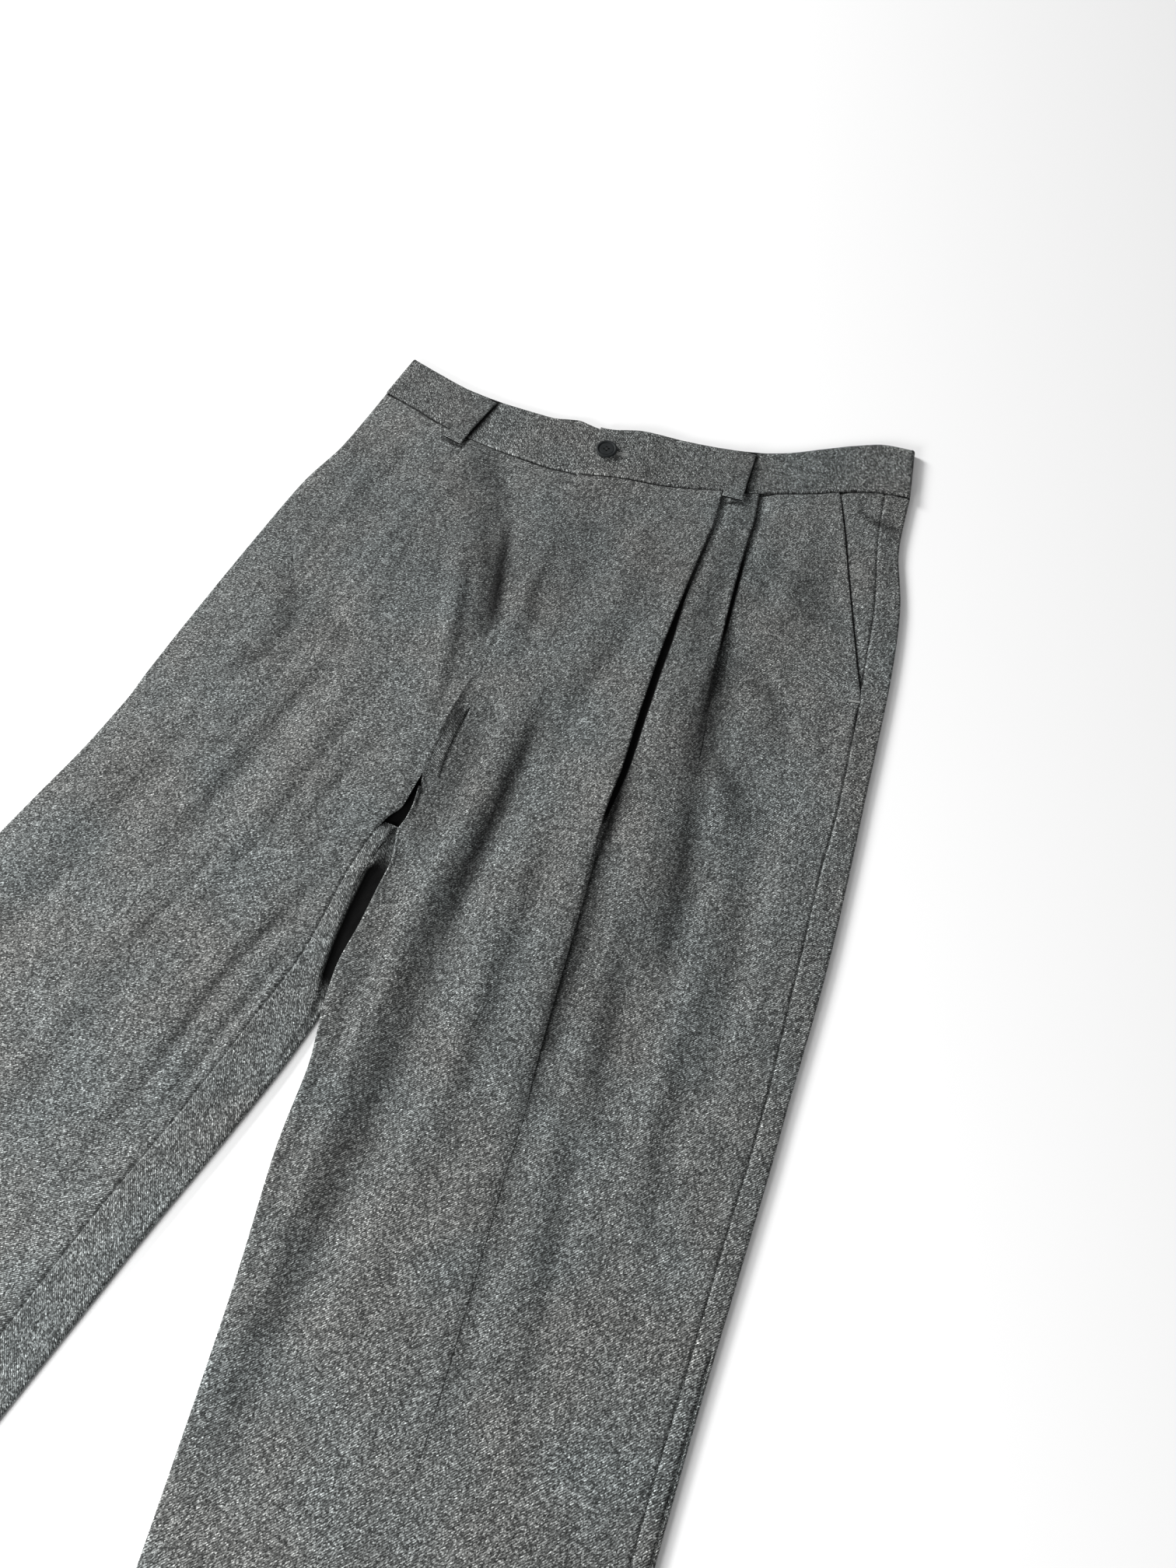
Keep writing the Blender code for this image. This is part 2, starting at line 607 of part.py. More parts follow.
def pocket_facing_right():
    """The same on the side that the trousers lie on, above its turned-under front."""
    grid = []
    for station in [s for s in RIGHT.stations() if s <= POCKET_END]:
        section = Section(RIGHT, station)
        mouth = section.hidden_mouth()
        seam = section.width - section.size["tuck"] + SEAM_GAP / 2
        places = [mouth + FACING_TUCK] + between(mouth + FACING_TUCK, mouth, 2)
        places += between(mouth, seam, 4) if seam < mouth else [mouth] * 4
        profile = [(along, section.bottom(along)
                    + max(PLY - FACING_SLOPE * max(mouth - along, 0.0), 0.0)) for along in places]
        grid.append(section.place(profile)[::-1])
    return sheet("pocket_facing_right", grid, CLOTH)


def waistband(name, front_end, edge, height):
    """Half the band: its front, round the fold at the outer edge, and its back."""
    side = 1 if edge > 0 else -1
    radius = (BAND_FRONT - BAND_BACK) / 2
    centre = edge - side * (BAND_CLOTH / 2 + radius)
    front = [front_end] + between(front_end, centre, 20)
    path = [(x, height(x)) for x in front]
    path += half_round(centre, side, BAND_BACK, BAND_FRONT, 6)[::-1][1:]
    back_end = SEAT_SEAM_TOP + side * SEAM_GAP / 2
    path += [(mix(centre, back_end, share), None) for share in loop_stops(centre, back_end)]
    grid = []
    for share in (0.0, 1 / 3, 2 / 3, 1.0):
        row = []
        for x, z in path:
            plan_x, plan_y = on_band(x, share)
            row.append((plan_x, plan_y, BAND_BACK + over_hidden_loops(x, 0.0) if z is None else z))
        grid.append(row[::side])
    return sheet(name, grid, BAND_CLOTH)


def belt_loop(name, x, low, high, bow):
    """A turned strip from below the waist seam to the band's upper edge."""
    seam, top = np.array(on_band(x, 0.0)), np.array(on_band(x, 1.0))
    up = (top - seam) / np.linalg.norm(top - seam)
    aside = np.array((up[1], -up[0])) * LOOP_WIDTH / 2
    foot = seam - up * LOOP_DROP
    grid = []
    for k in range(8):
        share = k / 7
        middle = mix(foot, top, share)
        z = mix(low, high, share) + bow * math.sin(math.pi * share)
        grid.append([(*(middle - aside), z), (*middle, z), (*(middle + aside), z)])
    return sheet(name, grid, LOOP_CLOTH, LOOP_WOOL)


def belt_loops():
    """Two loops in front, standing off the band, and three beneath, lying flat."""
    on_top = BAND_FRONT + BAND_CLOTH / 2 + SEAM_GAP + LOOP_CLOTH / 2
    for name, (x, low) in FRONT_LOOPS.items():
        belt_loop(name, x, low, on_top, LOOP_BOW)
    for name, x in HIDDEN_LOOPS.items():
        belt_loop(name, x, LOOP_CLOTH / 2, LOOP_CLOTH / 2, 0.0)


def button():
    """A turned button with a raised rim, and four holes cut by a hidden cutter."""
    x, y = BUTTON_AT
    seat = BAND_FRONT + TAB_RISE + BAND_CLOTH / 2 + SEAM_GAP
    radius = BUTTON_WIDTH / 2
    dish = BUTTON_THICK - BUTTON_DISH
    profile = [(0.0, dish), (radius - 2.6, dish), (radius - 1.9, BUTTON_THICK - 0.15),
               (radius - 1.2, BUTTON_THICK), (radius - 0.5, BUTTON_THICK - 0.25), (radius, 1.7),
               (radius - 0.3, 1.1), (radius - 1.6, 0.3), (radius - 3.0, 0.0), (0.0, 0.0)]
    mesh = bpy.data.meshes.new("button")
    mesh.from_pydata([(r * MM, 0.0, z * MM) for r, z in profile],
                     [(k, k + 1) for k in range(len(profile) - 1)], [])
    item = link(bpy.data.objects.new("button", mesh), HORN)
    item.location = to_world([(x, y, seat)])[0]
    turned = item.modifiers.new("turned", "SCREW")
    turned.steps = 28
    turned.render_steps = 28
    turned.use_merge_vertices = True
    turned.merge_threshold = 0.00001
    holes = bmesh.new()
    for k in range(4):
        angle = math.radians(45 + 90 * k)
        offset = Matrix.Translation((HOLE_SPREAD * MM * math.cos(angle),
                                     HOLE_SPREAD * MM * math.sin(angle), BUTTON_THICK * MM / 2))
        bmesh.ops.create_cone(holes, cap_ends=True, segments=10, radius1=HOLE_WIDTH * MM / 2,
                              radius2=HOLE_WIDTH * MM / 2, depth=2 * BUTTON_THICK * MM, matrix=offset)
    cutter_mesh = bpy.data.meshes.new("button holes")
    holes.to_mesh(cutter_mesh)
    holes.free()
    cutter = bpy.data.objects.new("button holes", cutter_mesh)
    cutter.location = item.location
    cutter.hide_render = True
    cutter.display_type = "WIRE"
    bpy.data.collections["cutters"].objects.link(cutter)
    drilled = item.modifiers.new("thread holes", "BOOLEAN")
    drilled.operation = "DIFFERENCE"
    drilled.solver = "EXACT"
    drilled.object = cutter
    return item


def main():
    for item in list(bpy.data.objects):
        bpy.data.objects.remove(item, do_unlink=True)
    for name in ("pleated_dress_trousers", "cutters"):
        bpy.context.scene.collection.children.link(bpy.data.collections.new(name))
    front_left()
    back_left()
    front_right()
    back_right()
    pocket_facing_left()
    pocket_facing_right()
    waistband("waistband_left", TAB_END, BAND.column("seam_x")[-1], tab_height)
    waistband("waistband_right", UNDERLAP_END, BAND.column("seam_x")[0], lambda x: BAND_FRONT)
    belt_loops()
    button()


main()
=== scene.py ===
"""Pleated dress trousers lying flat on their back, with the finish of the real cloth.

Sizes are millimetres in the plan frame of the cutting tables: x towards the wearer's left, y up
towards the waist, (0, 0) where the fly meets the waist seam, z = 0 the surface they lie on.
Heights of a wall are those of its middle. Meshes are made in metres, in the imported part's frame.
"""

import math

import bmesh
import bpy
import numpy as np
from mathutils import Matrix, Vector


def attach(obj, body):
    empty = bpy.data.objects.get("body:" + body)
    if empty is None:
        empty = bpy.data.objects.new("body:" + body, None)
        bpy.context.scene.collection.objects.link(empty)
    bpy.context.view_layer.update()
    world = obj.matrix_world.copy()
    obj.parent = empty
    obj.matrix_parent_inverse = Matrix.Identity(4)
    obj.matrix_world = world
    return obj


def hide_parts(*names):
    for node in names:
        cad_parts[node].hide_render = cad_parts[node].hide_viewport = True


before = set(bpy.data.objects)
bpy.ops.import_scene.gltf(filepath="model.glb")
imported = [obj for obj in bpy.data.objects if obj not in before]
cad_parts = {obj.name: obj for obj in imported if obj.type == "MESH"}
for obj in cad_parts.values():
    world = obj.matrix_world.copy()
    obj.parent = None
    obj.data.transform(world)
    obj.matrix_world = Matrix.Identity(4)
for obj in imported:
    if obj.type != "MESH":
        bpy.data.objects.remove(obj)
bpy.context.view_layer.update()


# --- left front -------------------------------------------------------------------
# The wearer's left front, one cut of charcoal wool twill with two open reverse pleats.
# Its fly edge is turned under and lies on the right front, its pocket mouth is a turned
# edge too, and below the pocket it is sewn to the back along the outseam.

MM = 0.001
MIDDLE = (19.5, -451.0, 0.0)   # middle of the outline, in the plan frame
WALL = 0.6                # the cloth itself
PLY = 1.5                 # from one ply to the next one lying on it
ON_FLOOR = WALL / 2
LOWEST_TOP = 2.1          # upper cloth never sinks below this
OUTER_RIM = 4.0           # upper cloth where it rounds the outer edge
FALL_WIDTH = 20.0         # how far in from an edge its own height reaches
EDGE_CALM = 9.0           # creases die out this far from the edges
WAIST_REACH = 2.5         # rows over which the curve of the waist seam fades
BAND_REACH = 1.3          # rows over which the cloth comes up to the band
BAND_FRONT = 4.9          # the band's front
TAB_RISE = 2.3            # the buttoned end of the band lies on the other one
TAB_FLAT_TO = 26.0
TAB_EASE_TO = 60.0
DITCH = 0.8               # a sewn edge dips this much into its seam
DITCH_WIDTH = 1.7
WAIST_DITCH = 0.9         # and so does the cloth under the band's lower edge
WAIST_DITCH_WIDTH = 2.0
WAIST_DITCH_DARK = 0.8    # and has this much shade painted on it,
WAIST_DARK_FROM = 0.9     # from here down from the seam
WAIST_DARK_WIDTH = 1.2
ALLOWANCE_RISE = 0.3      # the seam allowances beneath lift the cloth beside a seam,
ALLOWANCE_TO = 5.0        # fully up to here from it
TURN = 0.45               # radius of an edge turned under
LEFT_GRAIN = -7.0         # degrees from y towards x
NEAR_STEP = 2.5           # rows of the mesh where the cloth is creased
PLAIN_STEP = 7.0          # and towards the hem
PLAIN_BELOW = -600.0
HEM_TURN_UP = 14.0


def curve(knots, values, x):
    """Smooth curve through the values that never overshoots them."""
    x = np.clip(x, knots[0], knots[-1])
    k = np.clip(np.searchsorted(knots, x, side="right") - 1, 0, len(knots) - 2)
    step = np.diff(knots)
    slope = np.diff(values) / step
    tangent = np.concatenate([slope[:1], np.zeros(len(knots) - 2), slope[-1:]])
    before, after = slope[:-1], slope[1:]
    same_way = before * after > 0
    tangent[1:-1][same_way] = (2 * before * after)[same_way] / (before + after)[same_way]
    t = (x - knots[k]) / step[k]
    rise = (values[k + 1] - values[k]) * t * t * (3 - 2 * t)
    return values[k] + rise + step[k] * t * (1 - t) * ((1 - t) * tangent[k] - t * tangent[k + 1])


def fall(distance, width):
    """1 at distance 0, easing to 0 at the given width."""
    t = np.clip(distance / width, 0.0, 1.0)
    return (1 - t) ** 2 * (1 + 2 * t)


def mix(a, b, t):
    return a + (b - a) * t


class Table:
    """Named columns, a row for each section, joined by smooth curves."""

    def __init__(self, columns, rows):
        self.columns = columns.split()
        self.values = np.array(rows, float)

    def column(self, name):
        return self.values[:, self.columns.index(name)]

    def at(self, position):
        """All columns at row numbers that may lie between two rows."""
        rows = np.arange(len(self.values), dtype=float)
        return {name: curve(rows, self.column(name), position) for name in self.columns}

    def by(self, key, name, x):
        """One column as a curve over another one that rises."""
        return curve(self.column(key), self.column(name), x)

    def stations(self):
        """Row numbers of the mesh, close together at the seam and where creases are."""
        found = [0.0, 0.02, 0.045, 0.075, 0.12, 0.18]
        for k in range(len(self.values) - 1):
            ends = [[self.column(end + "_x")[k:k + 2], self.column(end + "_y")[k:k + 2]]
                    for end in ("inner", "outer")]
            gap = max(np.hypot(*np.diff(end).ravel()) for end in ends)
            step = NEAR_STEP if self.column("outer_y")[k] > PLAIN_BELOW else PLAIN_STEP
            count = math.ceil(gap / step)
            found += [k + j / count for j in range(count) if k + j / count > 0.2]
        return np.array(found + [len(self.values) - 1.0])


BAND = Table("seam_x seam_y top_x top_y", [
    (-161, 11, -158, 48),
    (-136, 6, -131, 42),
    (-110, 0, -104, 37),
    (-86, -4, -80, 36),
    (-60, -5, -54, 37),
    (-42, -5, -39, 38),
    (-30, -5, -28, 41.5),
    (-21, -4.5, -20, 43.5),
    (-11, -3, -11, 42.5),
    (0, -2, -2, 42),
    (9, 0.5, 7, 44),
    (18, 3.5, 15.5, 47.5),
    (27, 6, 24, 50.5),
    (55, 13, 53, 56),
    (85, 22, 82, 61),
    (113, 31, 108, 68),
    (131, 39, 126, 76),
    (153, 49, 147, 89),
    (175, 60, 168, 102),
    (195, 68, 187, 111),
    (216, 73, 207, 114),
])

# inner, outer: the edges of the outline.  inset: outseam on top, in from the outer
# edge.  rim: upper cloth at the inner edge.  rest: cloth rolled under there.
# roll: 1 where the edge is rolled under to the inseam, 'under' in from the edge.
# loft: upper cloth between the edges.
LEFT = Table("inner_x inner_y outer_x outer_y inset rim rest roll under loft", [
    (0, -2, 216, 72, 18, 6.2, 4.4, 0, 6, 4.6),
    (0, -22, 220, 40, 16, 6.2, 4.4, 0, 6, 4.6),
    (0, -45, 223, 24, 15, 6.2, 4.4, 0, 6, 4.6),
    (0, -90, 237, -18, 17, 6.2, 4.4, 0, 6, 4.6),
    (0, -140, 247, -70, 18, 6.2, 4.4, 0, 6, 4.7),
    (0, -185, 253, -115, 16, 6.2, 4.4, 0, 20, 4.8),
    (1, -235, 259, -165, 15, 6.4, 4.4, 0, 26, 5.0),
    (3, -262, 262, -188, 16, 6.8, 4.4, 1, 21.5, 5.0),
    (5, -285, 265, -213, 17, 6.8, 4.4, 1, 20.5, 5.0),
    (11, -330, 271, -270, 16, 6.8, 4.4, 1, 20.5, 5.0),
    (24.5, -404, 276, -350, 12, 6.4, 4.2, 1, 14, 4.9),
    (31, -432, 278, -378, 12, 4.3, ON_FLOOR, 1, 14, 4.8),
    (36, -470, 280, -416, 12, 4.1, ON_FLOOR, 1, 14, 4.7),
    (52, -543, 284, -494, 11, 4.0, ON_FLOOR, 1, 14, 4.6),
    (74, -662, 293, -620, 11, 4.0, ON_FLOOR, 1, 13, 4.4),
    (98, -800, 308, -762, 11, 4.0, ON_FLOOR, 1, 12, 4.3),
    (120, -930, 325, -894, 11, 4.0, ON_FLOOR, 1, 12, 4.2),
    (135, -1016, 338, -982, 11, 4.0, ON_FLOOR, 1, 12, 4.1),
])
UNDER_RAMP = 7.0          # the rolled-under cloth starts down to the floor this far
UNDER_FOOT = 1.5          # before its seam, and is down this far before it

# the rolled edge wanders about the inner edge of the outline beside the thigh gap
THIGH_EDGE = Table("y nudge", [
    (-430, 0), (-410, 0), (-400, -1), (-381, -1), (-350, 4), (-321, 7.5), (-313, 8.5),
    (-301, 7), (-292, 5), (-284, 7), (-276, 7.5), (-262, 6), (-250, 4.5), (-225, 2), (-185, 0)])

# the turned fly edge wanders off the middle, towards the right front and back
FLY_EDGE = Table("y x", [
    (-282, 3), (-243, 1), (-204, 2), (-171, 4), (-143, 2), (-112, -13), (-87, -16), (-39, -11),
    (0, 0)])

# at: fold edge, mm from the inner edge along the row.  turn: degrees the cloth
# turns back (180 is folded flat).  lap: its length.  gap: the fold stands open
# this wide.  sink: cloth inside the fold, below the panel.
LEFT_PLEAT_1 = Table("at turn lap gap sink", [
    (101, 180, 13, 0, 1.6), (103, 180, 12, 0.25, 1.7), (105, 178, 11, 0.9, 1.8),
    (106.8, 174, 9, 1.3, 1.9), (109.6, 172, 7, 4.4, 2.2), (114.2, 170, 5.5, 4.4, 2.4),
    (119.4, 165, 4, 3.6, 2.4), (120, 128, 3, 1.5, 1.9), (120.8, 50, 2, 0, 1.2),
    (121.5, 12, 2, 0, 0.7), (119, 5, 2.5, 0, 0.6), (118, 4, 2.5, 0, 0.6),
    (118, 3, 2.5, 0, 0.5), (113, 2, 2.5, 0, 0.4), (106, 1, 3, 0, 0.3),
    (101, 1, 3, 0, 0.25), (99, 1, 3, 0, 0.2), (98, 1, 3, 0, 0.2)])
LEFT_PLEAT_2 = Table("at turn lap gap sink", [
    (126, 180, 9, 0.5, 2.2), (129, 178, 8, 0.9, 2.0), (131.8, 174, 7, 0.9, 1.9),
    (137.6, 170, 5, 2.0, 2.0), (145.6, 130, 4, 0.9, 1.5), (153, 14, 3, 0, 0.8),
    (162, 1, 3, 0, 0.3), (166, 1, 3, 0, 0.3), (172, 3, 3, 0, 0.4), (178, 3, 3, 0, 0.5),
    (174, 3, 3, 0, 0.5), (174, 3, 3, 0, 0.5), (173, 3, 3, 0, 0.5), (165, 3, 3, 0, 0.5),
    (157, 3, 3, 0, 0.5), (151, 3, 3, 0, 0.5), (147, 3, 3, 0, 0.5), (145, 3, 3, 0, 0.5)])
FOLD_RADIUS = PLY / 2
FOLD_STEPS = 6
AHEAD_OF_PLEAT = 28.0     # the upper ply comes down to the panel over this
BEHIND_PLEAT = 14.0       # and the lower ply comes up to it over this
PLEAT_LIP = 1.8           # or first this steeply, where the fold stands open,
LIP_SHARE = 0.72          # for this share of its rise
WIDE_OPEN = 1.5           # a gap of this much is fully open
MOUTH_DARK_FROM = 0.3     # painted shade in the slot of an open fold stops this far past it
MOUTH_DARK_WIDTH = 1.6

POCKET_MOUTH = Table("at", [(179,), (188.5,), (197.5,), (215,), (235,), (254,)])
POCKET_END = 4.5          # row number where the mouth runs into the side seam
SEAM_GAPES_AT = 4.45      # the seam gapes a little there,
SEAM_GAPES_OVER = 0.3     # this many rows to either side,
SEAM_CLOSES = 0.5         # and closes over this many more
SEAM_SHADE = 0.25         # shade painted in the ditch of a seam,
SEAM_SHADE_REACH = 0.9    # how far that painted shade reaches beside it,
GAPING_SHADE = 0.97       # and both where the seam gapes
GAPING_SHADE_REACH = 1.6
SEAM_END_DROP = 0.3       # the front's last edge lies so much lower in its seam, with this much painted shade
SEAM_END_SHADE = 0.4

# height: + a ridge, - a trough.  width: half width.  lean: -1 to 1, how much wider
# the slope on the wearer's left of the path is.  dark: shade painted on its floor, the
# share of the colour it takes away.  Paths run down the cloth.
CREASES = [
    # height, width, lean, dark, path
    # shade painted over the lap between the waist and the thighs; it has no height
    (0.0, 78, 0, 0.15, [(-230, -100), (-110, -90), (-20, -75), (60, -55), (140, -35), (265, -20)]),
    # the fold that runs down the left thigh from the crotch, and the ridges beside it
    (-4.0, 7, 0.5, 0.8, [(52, -172), (55, -212), (57, -250), (58, -292), (60, -330), (63, -366)]),
    (-3.0, 14, 0.2, 0.52, [(58, -300), (62, -350), (66, -400), (70, -460), (75, -530), (84, -620)]),
    (2.6, 9, -0.2, 0, [(38, -180), (42, -230), (44, -285), (45, -335), (49, -400)]),
    (1.6, 12, 0.0, 0, [(84, -230), (90, -300), (96, -380), (104, -470), (112, -560)]),
    (-1.6, 12, 0.0, 0.4, [(21, -190), (24, -218), (27, -250), (30, -298)]),
    (-1.6, 8, 0.2, 0.26, [(80, -92), (75, -132), (70, -172), (69, -222)]),
    (-1.5, 7, 0.2, 0.18, [(92, -34), (89, -88), (86, -140)]),
    (-1.8, 9, 0.2, 0.2, [(94, -250), (102, -310), (111, -380), (120, -450)]),
    (-1.4, 8, 0.1, 0.16, [(30, -330), (34, -390), (44, -460), (54, -530)]),
    # below the fly, where both fronts hang slack
    (-4.4, 8, -0.35, 0.94, [(-30, -56), (-21, -80), (-12, -105), (-4, -130), (4, -158)]),
    (-3.2, 15, 0.2, 0.42, [(-84, -4), (-62, -24), (-44, -46), (-28, -76)]),
    (2.2, 9, 0.0, 0, [(-10, -44), (3, -80), (12, -116), (16, -150)]),
    (2.4, 9, 0.0, 0, [(-54, -62), (-41, -100), (-28, -138), (-19, -172)]),
    (-1.2, 2.8, 0.3, 0.45,
     [(-45, -84), (-32, -114), (-22, -142), (-14, -166), (-9, -190), (-5, -224)]),
    (0.9, 3.2, 0.0, 0, [(-50, -90), (-38, -120), (-28, -148), (-20, -174), (-15, -210)]),
    (-2.0, 5, 0.2, 0.7, [(-2, -140), (1, -172), (3, -202), (7, -232), (10, -258)]),
    (1.6, 8, 0.2, 0, [(-14, -235), (-18, -280), (-22, -325)]),
    (-1.5, 8, 0.0, 0.18, [(22, -14), (35, -56), (41, -108)]),
    (-1.1, 6, 0.1, 0.16, [(8, -84), (20, -118), (26, -150)]),
    (1.4, 10, 0.0, 0, [(58, -24), (62, -88), (58, -150)]),
    (-1.3, 9, 0.0, 0.14, [(50, 4), (45, -38), (52, -92)]),
    # between the pleats and the pocket
    (-0.6, 13, 0.0, 0.44, [(113, 32), (117, -40), (124, -92), (132, -146)]),
    (-1.8, 14, 0.2, 0.74, [(138, -84), (143, -112), (148, -140), (153, -170), (161, -208)]),
    (-1.6, 12, 0.1, 0.66, [(156, -176), (164, -208), (171, -238), (178, -270), (186, -310)]),
    (-1.6, 10, 0.0, 0.46, [(150, -140), (163, -164), (182, -186), (206, -206)]),
    (-1.3, 8, 0.0, 0.34, [(156, -94), (171, -106), (190, -124), (198, -150)]),
    (-0.8, 20, 0.0, 0.3, [(136, -20), (160, -24), (186, -34), (216, -56)]),
    (-1.4, 10, 0.0, 0.22, [(146, -8), (150, -34), (152, -62)]),
    (-1.8, 9, 0.1, 0.54, [(152, -276), (164, -322), (175, -364), (185, -410)]),
    (-1.6, 8, 0.0, 0.42, [(175, -404), (184, -440), (193, -478), (204, -530)]),
    (-1.8, 10, 0.0, 0.22, [(206, -205), (216, -258), (226, -318), (232, -372)]),
    (-1.5, 8, 0.0, 0.2, [(212, -330), (222, -385), (233, -440)]),
    (2.0, 8, 0.0, 0, [(172, -142), (179, -190), (188, -236)]),
    (1.9, 8, 0.0, 0, [(149, -226), (158, -272), (169, -322), (178, -362)]),
    (1.7, 9, 0.0, 0, [(196, -250), (204, -310), (211, -372), (220, -440)]),
    (1.2, 9, 0.0, 0, [(226, -170), (233, -235), (241, -310), (247, -385)]),
    (1.4, 7, 0.0, 0, [(160, 24), (164, -8), (166, -60), (158, -92)]),
    (-1.2, 9, 0.0, 0.06, [(188, 8), (190, -20), (194, -80)]),
    (-0.5, 4.5, 0.0, 0.66, [(184, 56), (191, 46), (200, 41), (209, 41), (220, 44)]),
    (1.4, 8, 0.0, 0, [(196, 62), (208, 30), (216, 2)]),
    # under the end of the first pleat
    (-0.8, 4.5, 0.5, 0.9, [(119, -188), (121, -212), (123.5, -238), (126, -262), (130, -292)]),
    (-2.4, 9, 0.2, 0.74, [(125, -242), (131, -284), (137, -328), (143, -370), (150, -416)]),
    (-1.5, 8, 0.2, 0.3, [(143, -370), (152, -430), (162, -495), (174, -570)]),
    (1.9, 6, 0.0, 0, [(117, -256), (123, -298), (130, -342), (137, -396)]),
    (-0.9, 2.4, 0.0, 0.34, [(106, -112), (112, -158), (117, -198), (122, -244)]),
    (-1.0, 2.8, 0.3, 0.42, [(168, -314), (174, -352), (177, -388)]),
    # the wearer's right thigh
    (-1.6, 5, 0.0, 0.42, [(-84, -190), (-92, -230), (-97, -270), (-103, -318), (-109, -366)]),
    (-0.9, 3.8, 0.0, 0.26, [(-112, -136), (-108, -196), (-114, -258), (-126, -330)]),
    (-0.8, 3.6, 0.0, 0.2, [(-131, -58), (-137, -112), (-139, -150)]),
    (-0.9, 3.4, 0.0, 0.24, [(-44, -196), (-54, -252), (-60, -318), (-74, -392)]),
    (-0.8, 4.0, 0.0, 0.2, [(-136, -250), (-146, -312), (-152, -380), (-164, -452)]),
    (-0.8, 3.2, 0.0, 0.22, [(-78, -46), (-82, -100), (-74, -150)]),
    (-2.2, 8, 0.0, 0.44, [(-148, -154), (-131, -171), (-124, -192), (-127, -216), (-140, -240)]),
    (-1.7, 8, 0.0, 0.2, [(-66, -186), (-92, -182), (-118, -172)]),
    (1.6, 9, 0.0, 0, [(-62, -150), (-66, -220), (-69, -290), (-76, -370)]),
    (1.4, 9, 0.0, 0, [(-95, -56), (-98, -118), (-93, -170)]),
    (-1.5, 9, 0.0, 0.16, [(-120, -26), (-124, -78), (-117, -122)]),
    (-1.4, 8, 0.0, 0.1, [(-66, -10), (-74, -40), (-79, -78)]),
    (-1.3, 8, 0.0, 0.16, [(-146, -30), (-152, -72), (-150, -110)]),
    (-0.9, 3.2, 0.0, 0.34, [(-32, -240), (-40, -288), (-46, -328)]),
    (-0.9, 3.2, 0.0, 0.34, [(-78, -330), (-88, -380), (-100, -432)]),
    (-1.6, 4.5, 0.2, 0.44, [(-12, -322), (-27, -366), (-38, -410), (-44, -462), (-54, -530)]),
    (-1.3, 3.2, 0.0, 0.44, [(-4, -366), (-14, -394), (-21, -430), (-28, -484)]),
    (-1.0, 2.6, 0.0, 0.36, [(10, -398), (2, -430), (-5, -474), (-14, -524)]),
    (-1.0, 2.6, 0.0, 0.36, [(-6, -366), (-18, -364), (-31, -378), (-40, -398)]),
    (1.1, 4.0, 0.0, 0, [(-6, -382), (-9, -420), (-16, -470)]),
    (-1.3, 5, 0.0, 0.2, [(-18, -262), (-26, -300), (-30, -340)]),
    (-1.7, 12, 0.0, 0.18, [(-148, -296), (-158, -358), (-166, -430), (-178, -520)]),
    (-1.2, 10, 0.0, 0.14, [(-84, -400), (-98, -470), (-112, -550)]),
    # the hole beside the crotch, where the edge of the right front sinks in, with shade painted in
    # it
    (-1.8, 4.0, 0.0, 0.9, [(10, -250), (9, -264), (7, -275), (4, -284), (2, -293)]),
    # the dimple at the inner end of the pocket's bar, with shade painted in it
    (-0.3, 1.8, 0.0, 0.7, [(226.7, -103.1), (227.4, -105.2)]),
    # shadow painted beside the feet and edges of the front loops, in shallow troughs
    (-0.2, 1.3, 0.0, 0.9, [(-104, -11.6), (-95.4, -13.2), (-87, -14.6)]),
    (-0.2, 1.3, 0.0, 0.9, [(96, 16.9), (104.4, 17.8), (113, 18.9)]),
    (-0.2, 1.4, 0.2, 0.95, [(-86.7, 1), (-87.3, -6), (-87.9, -13)]),
    (-0.2, 1.4, 0.2, 0.95, [(111.8, 30), (112.7, 24), (113.7, 18)]),
    # further down, towards the hems
    (1.2, 10, 0.0, 0, [(-30, -520), (-48, -600), (-66, -700)]),
    (-1.6, 12, 0.0, 0.12, [(172, -600), (186, -690), (200, -790)]),
    (1.2, 12, 0.0, 0, [(130, -640), (140, -720), (160, -800)]),
    (-1.5, 12, 0.0, 0.12, [(-150, -640), (-168, -720), (-180, -800)]),
    (-1.4, 10, 0.1, 0.14, [(96, -640), (116, -740), (140, -850)]),
    (-1.2, 9, 0.0, 0.12, [(-80, -700), (-100, -800), (-116, -890)]),
]
DARK_SHARE = 0.8          # a crease's painted shade spans this share of its width


def crease_fields(x, y):
    """Height of the creases at plan points, and the shade painted on their floors; both fade at a
    path's ends.
    """
    height_here, dark_here = np.zeros(x.shape), np.zeros(x.shape)
    for height, width, lean, dark, path in CREASES:
        path = np.array(path, float)
        near = np.ones(x.shape, bool)
        for values, ends in ((x, path[:, 0]), (y, path[:, 1])):
            near &= (values > ends.min() - 4 * width) & (values < ends.max() + 4 * width)
        if not near.any():
            continue
        px, py = x[near], y[near]
        best = np.full(px.shape, 1e9)
        part, left_of = np.zeros(px.shape), np.zeros(px.shape)
        for k, ((ax, ay), (bx, by)) in enumerate(zip(path, path[1:])):
            along_x, along_y = bx - ax, by - ay
            t = ((px - ax) * along_x + (py - ay) * along_y) / (along_x ** 2 + along_y ** 2)
            inside = np.clip(t, 0, 1)
            off_x, off_y = px - ax - inside * along_x, py - ay - inside * along_y
            away = np.hypot(off_x, off_y)
            closer = away < best
            best[closer] = away[closer]
            part[closer] = (k + inside[closer]) / (len(path) - 1)
            left_of[closer] = np.sign(off_y * along_x - off_x * along_y)[closer]
        spread = width * (1 + lean * left_of)
        ends = np.sin(math.pi * np.clip(0.04 + 0.92 * part, 0, 1)) ** 0.6
        height_here[near] += height * ends * np.exp(-(best / spread) ** 2)
        floor = dark * ends * np.exp(-(best / (DARK_SHARE * spread)) ** 2)
        dark_here[near] = np.maximum(dark_here[near], floor)
    return height_here, dark_here


def waist_seam(x):
    return BAND.by("seam_x", "seam_y", x)


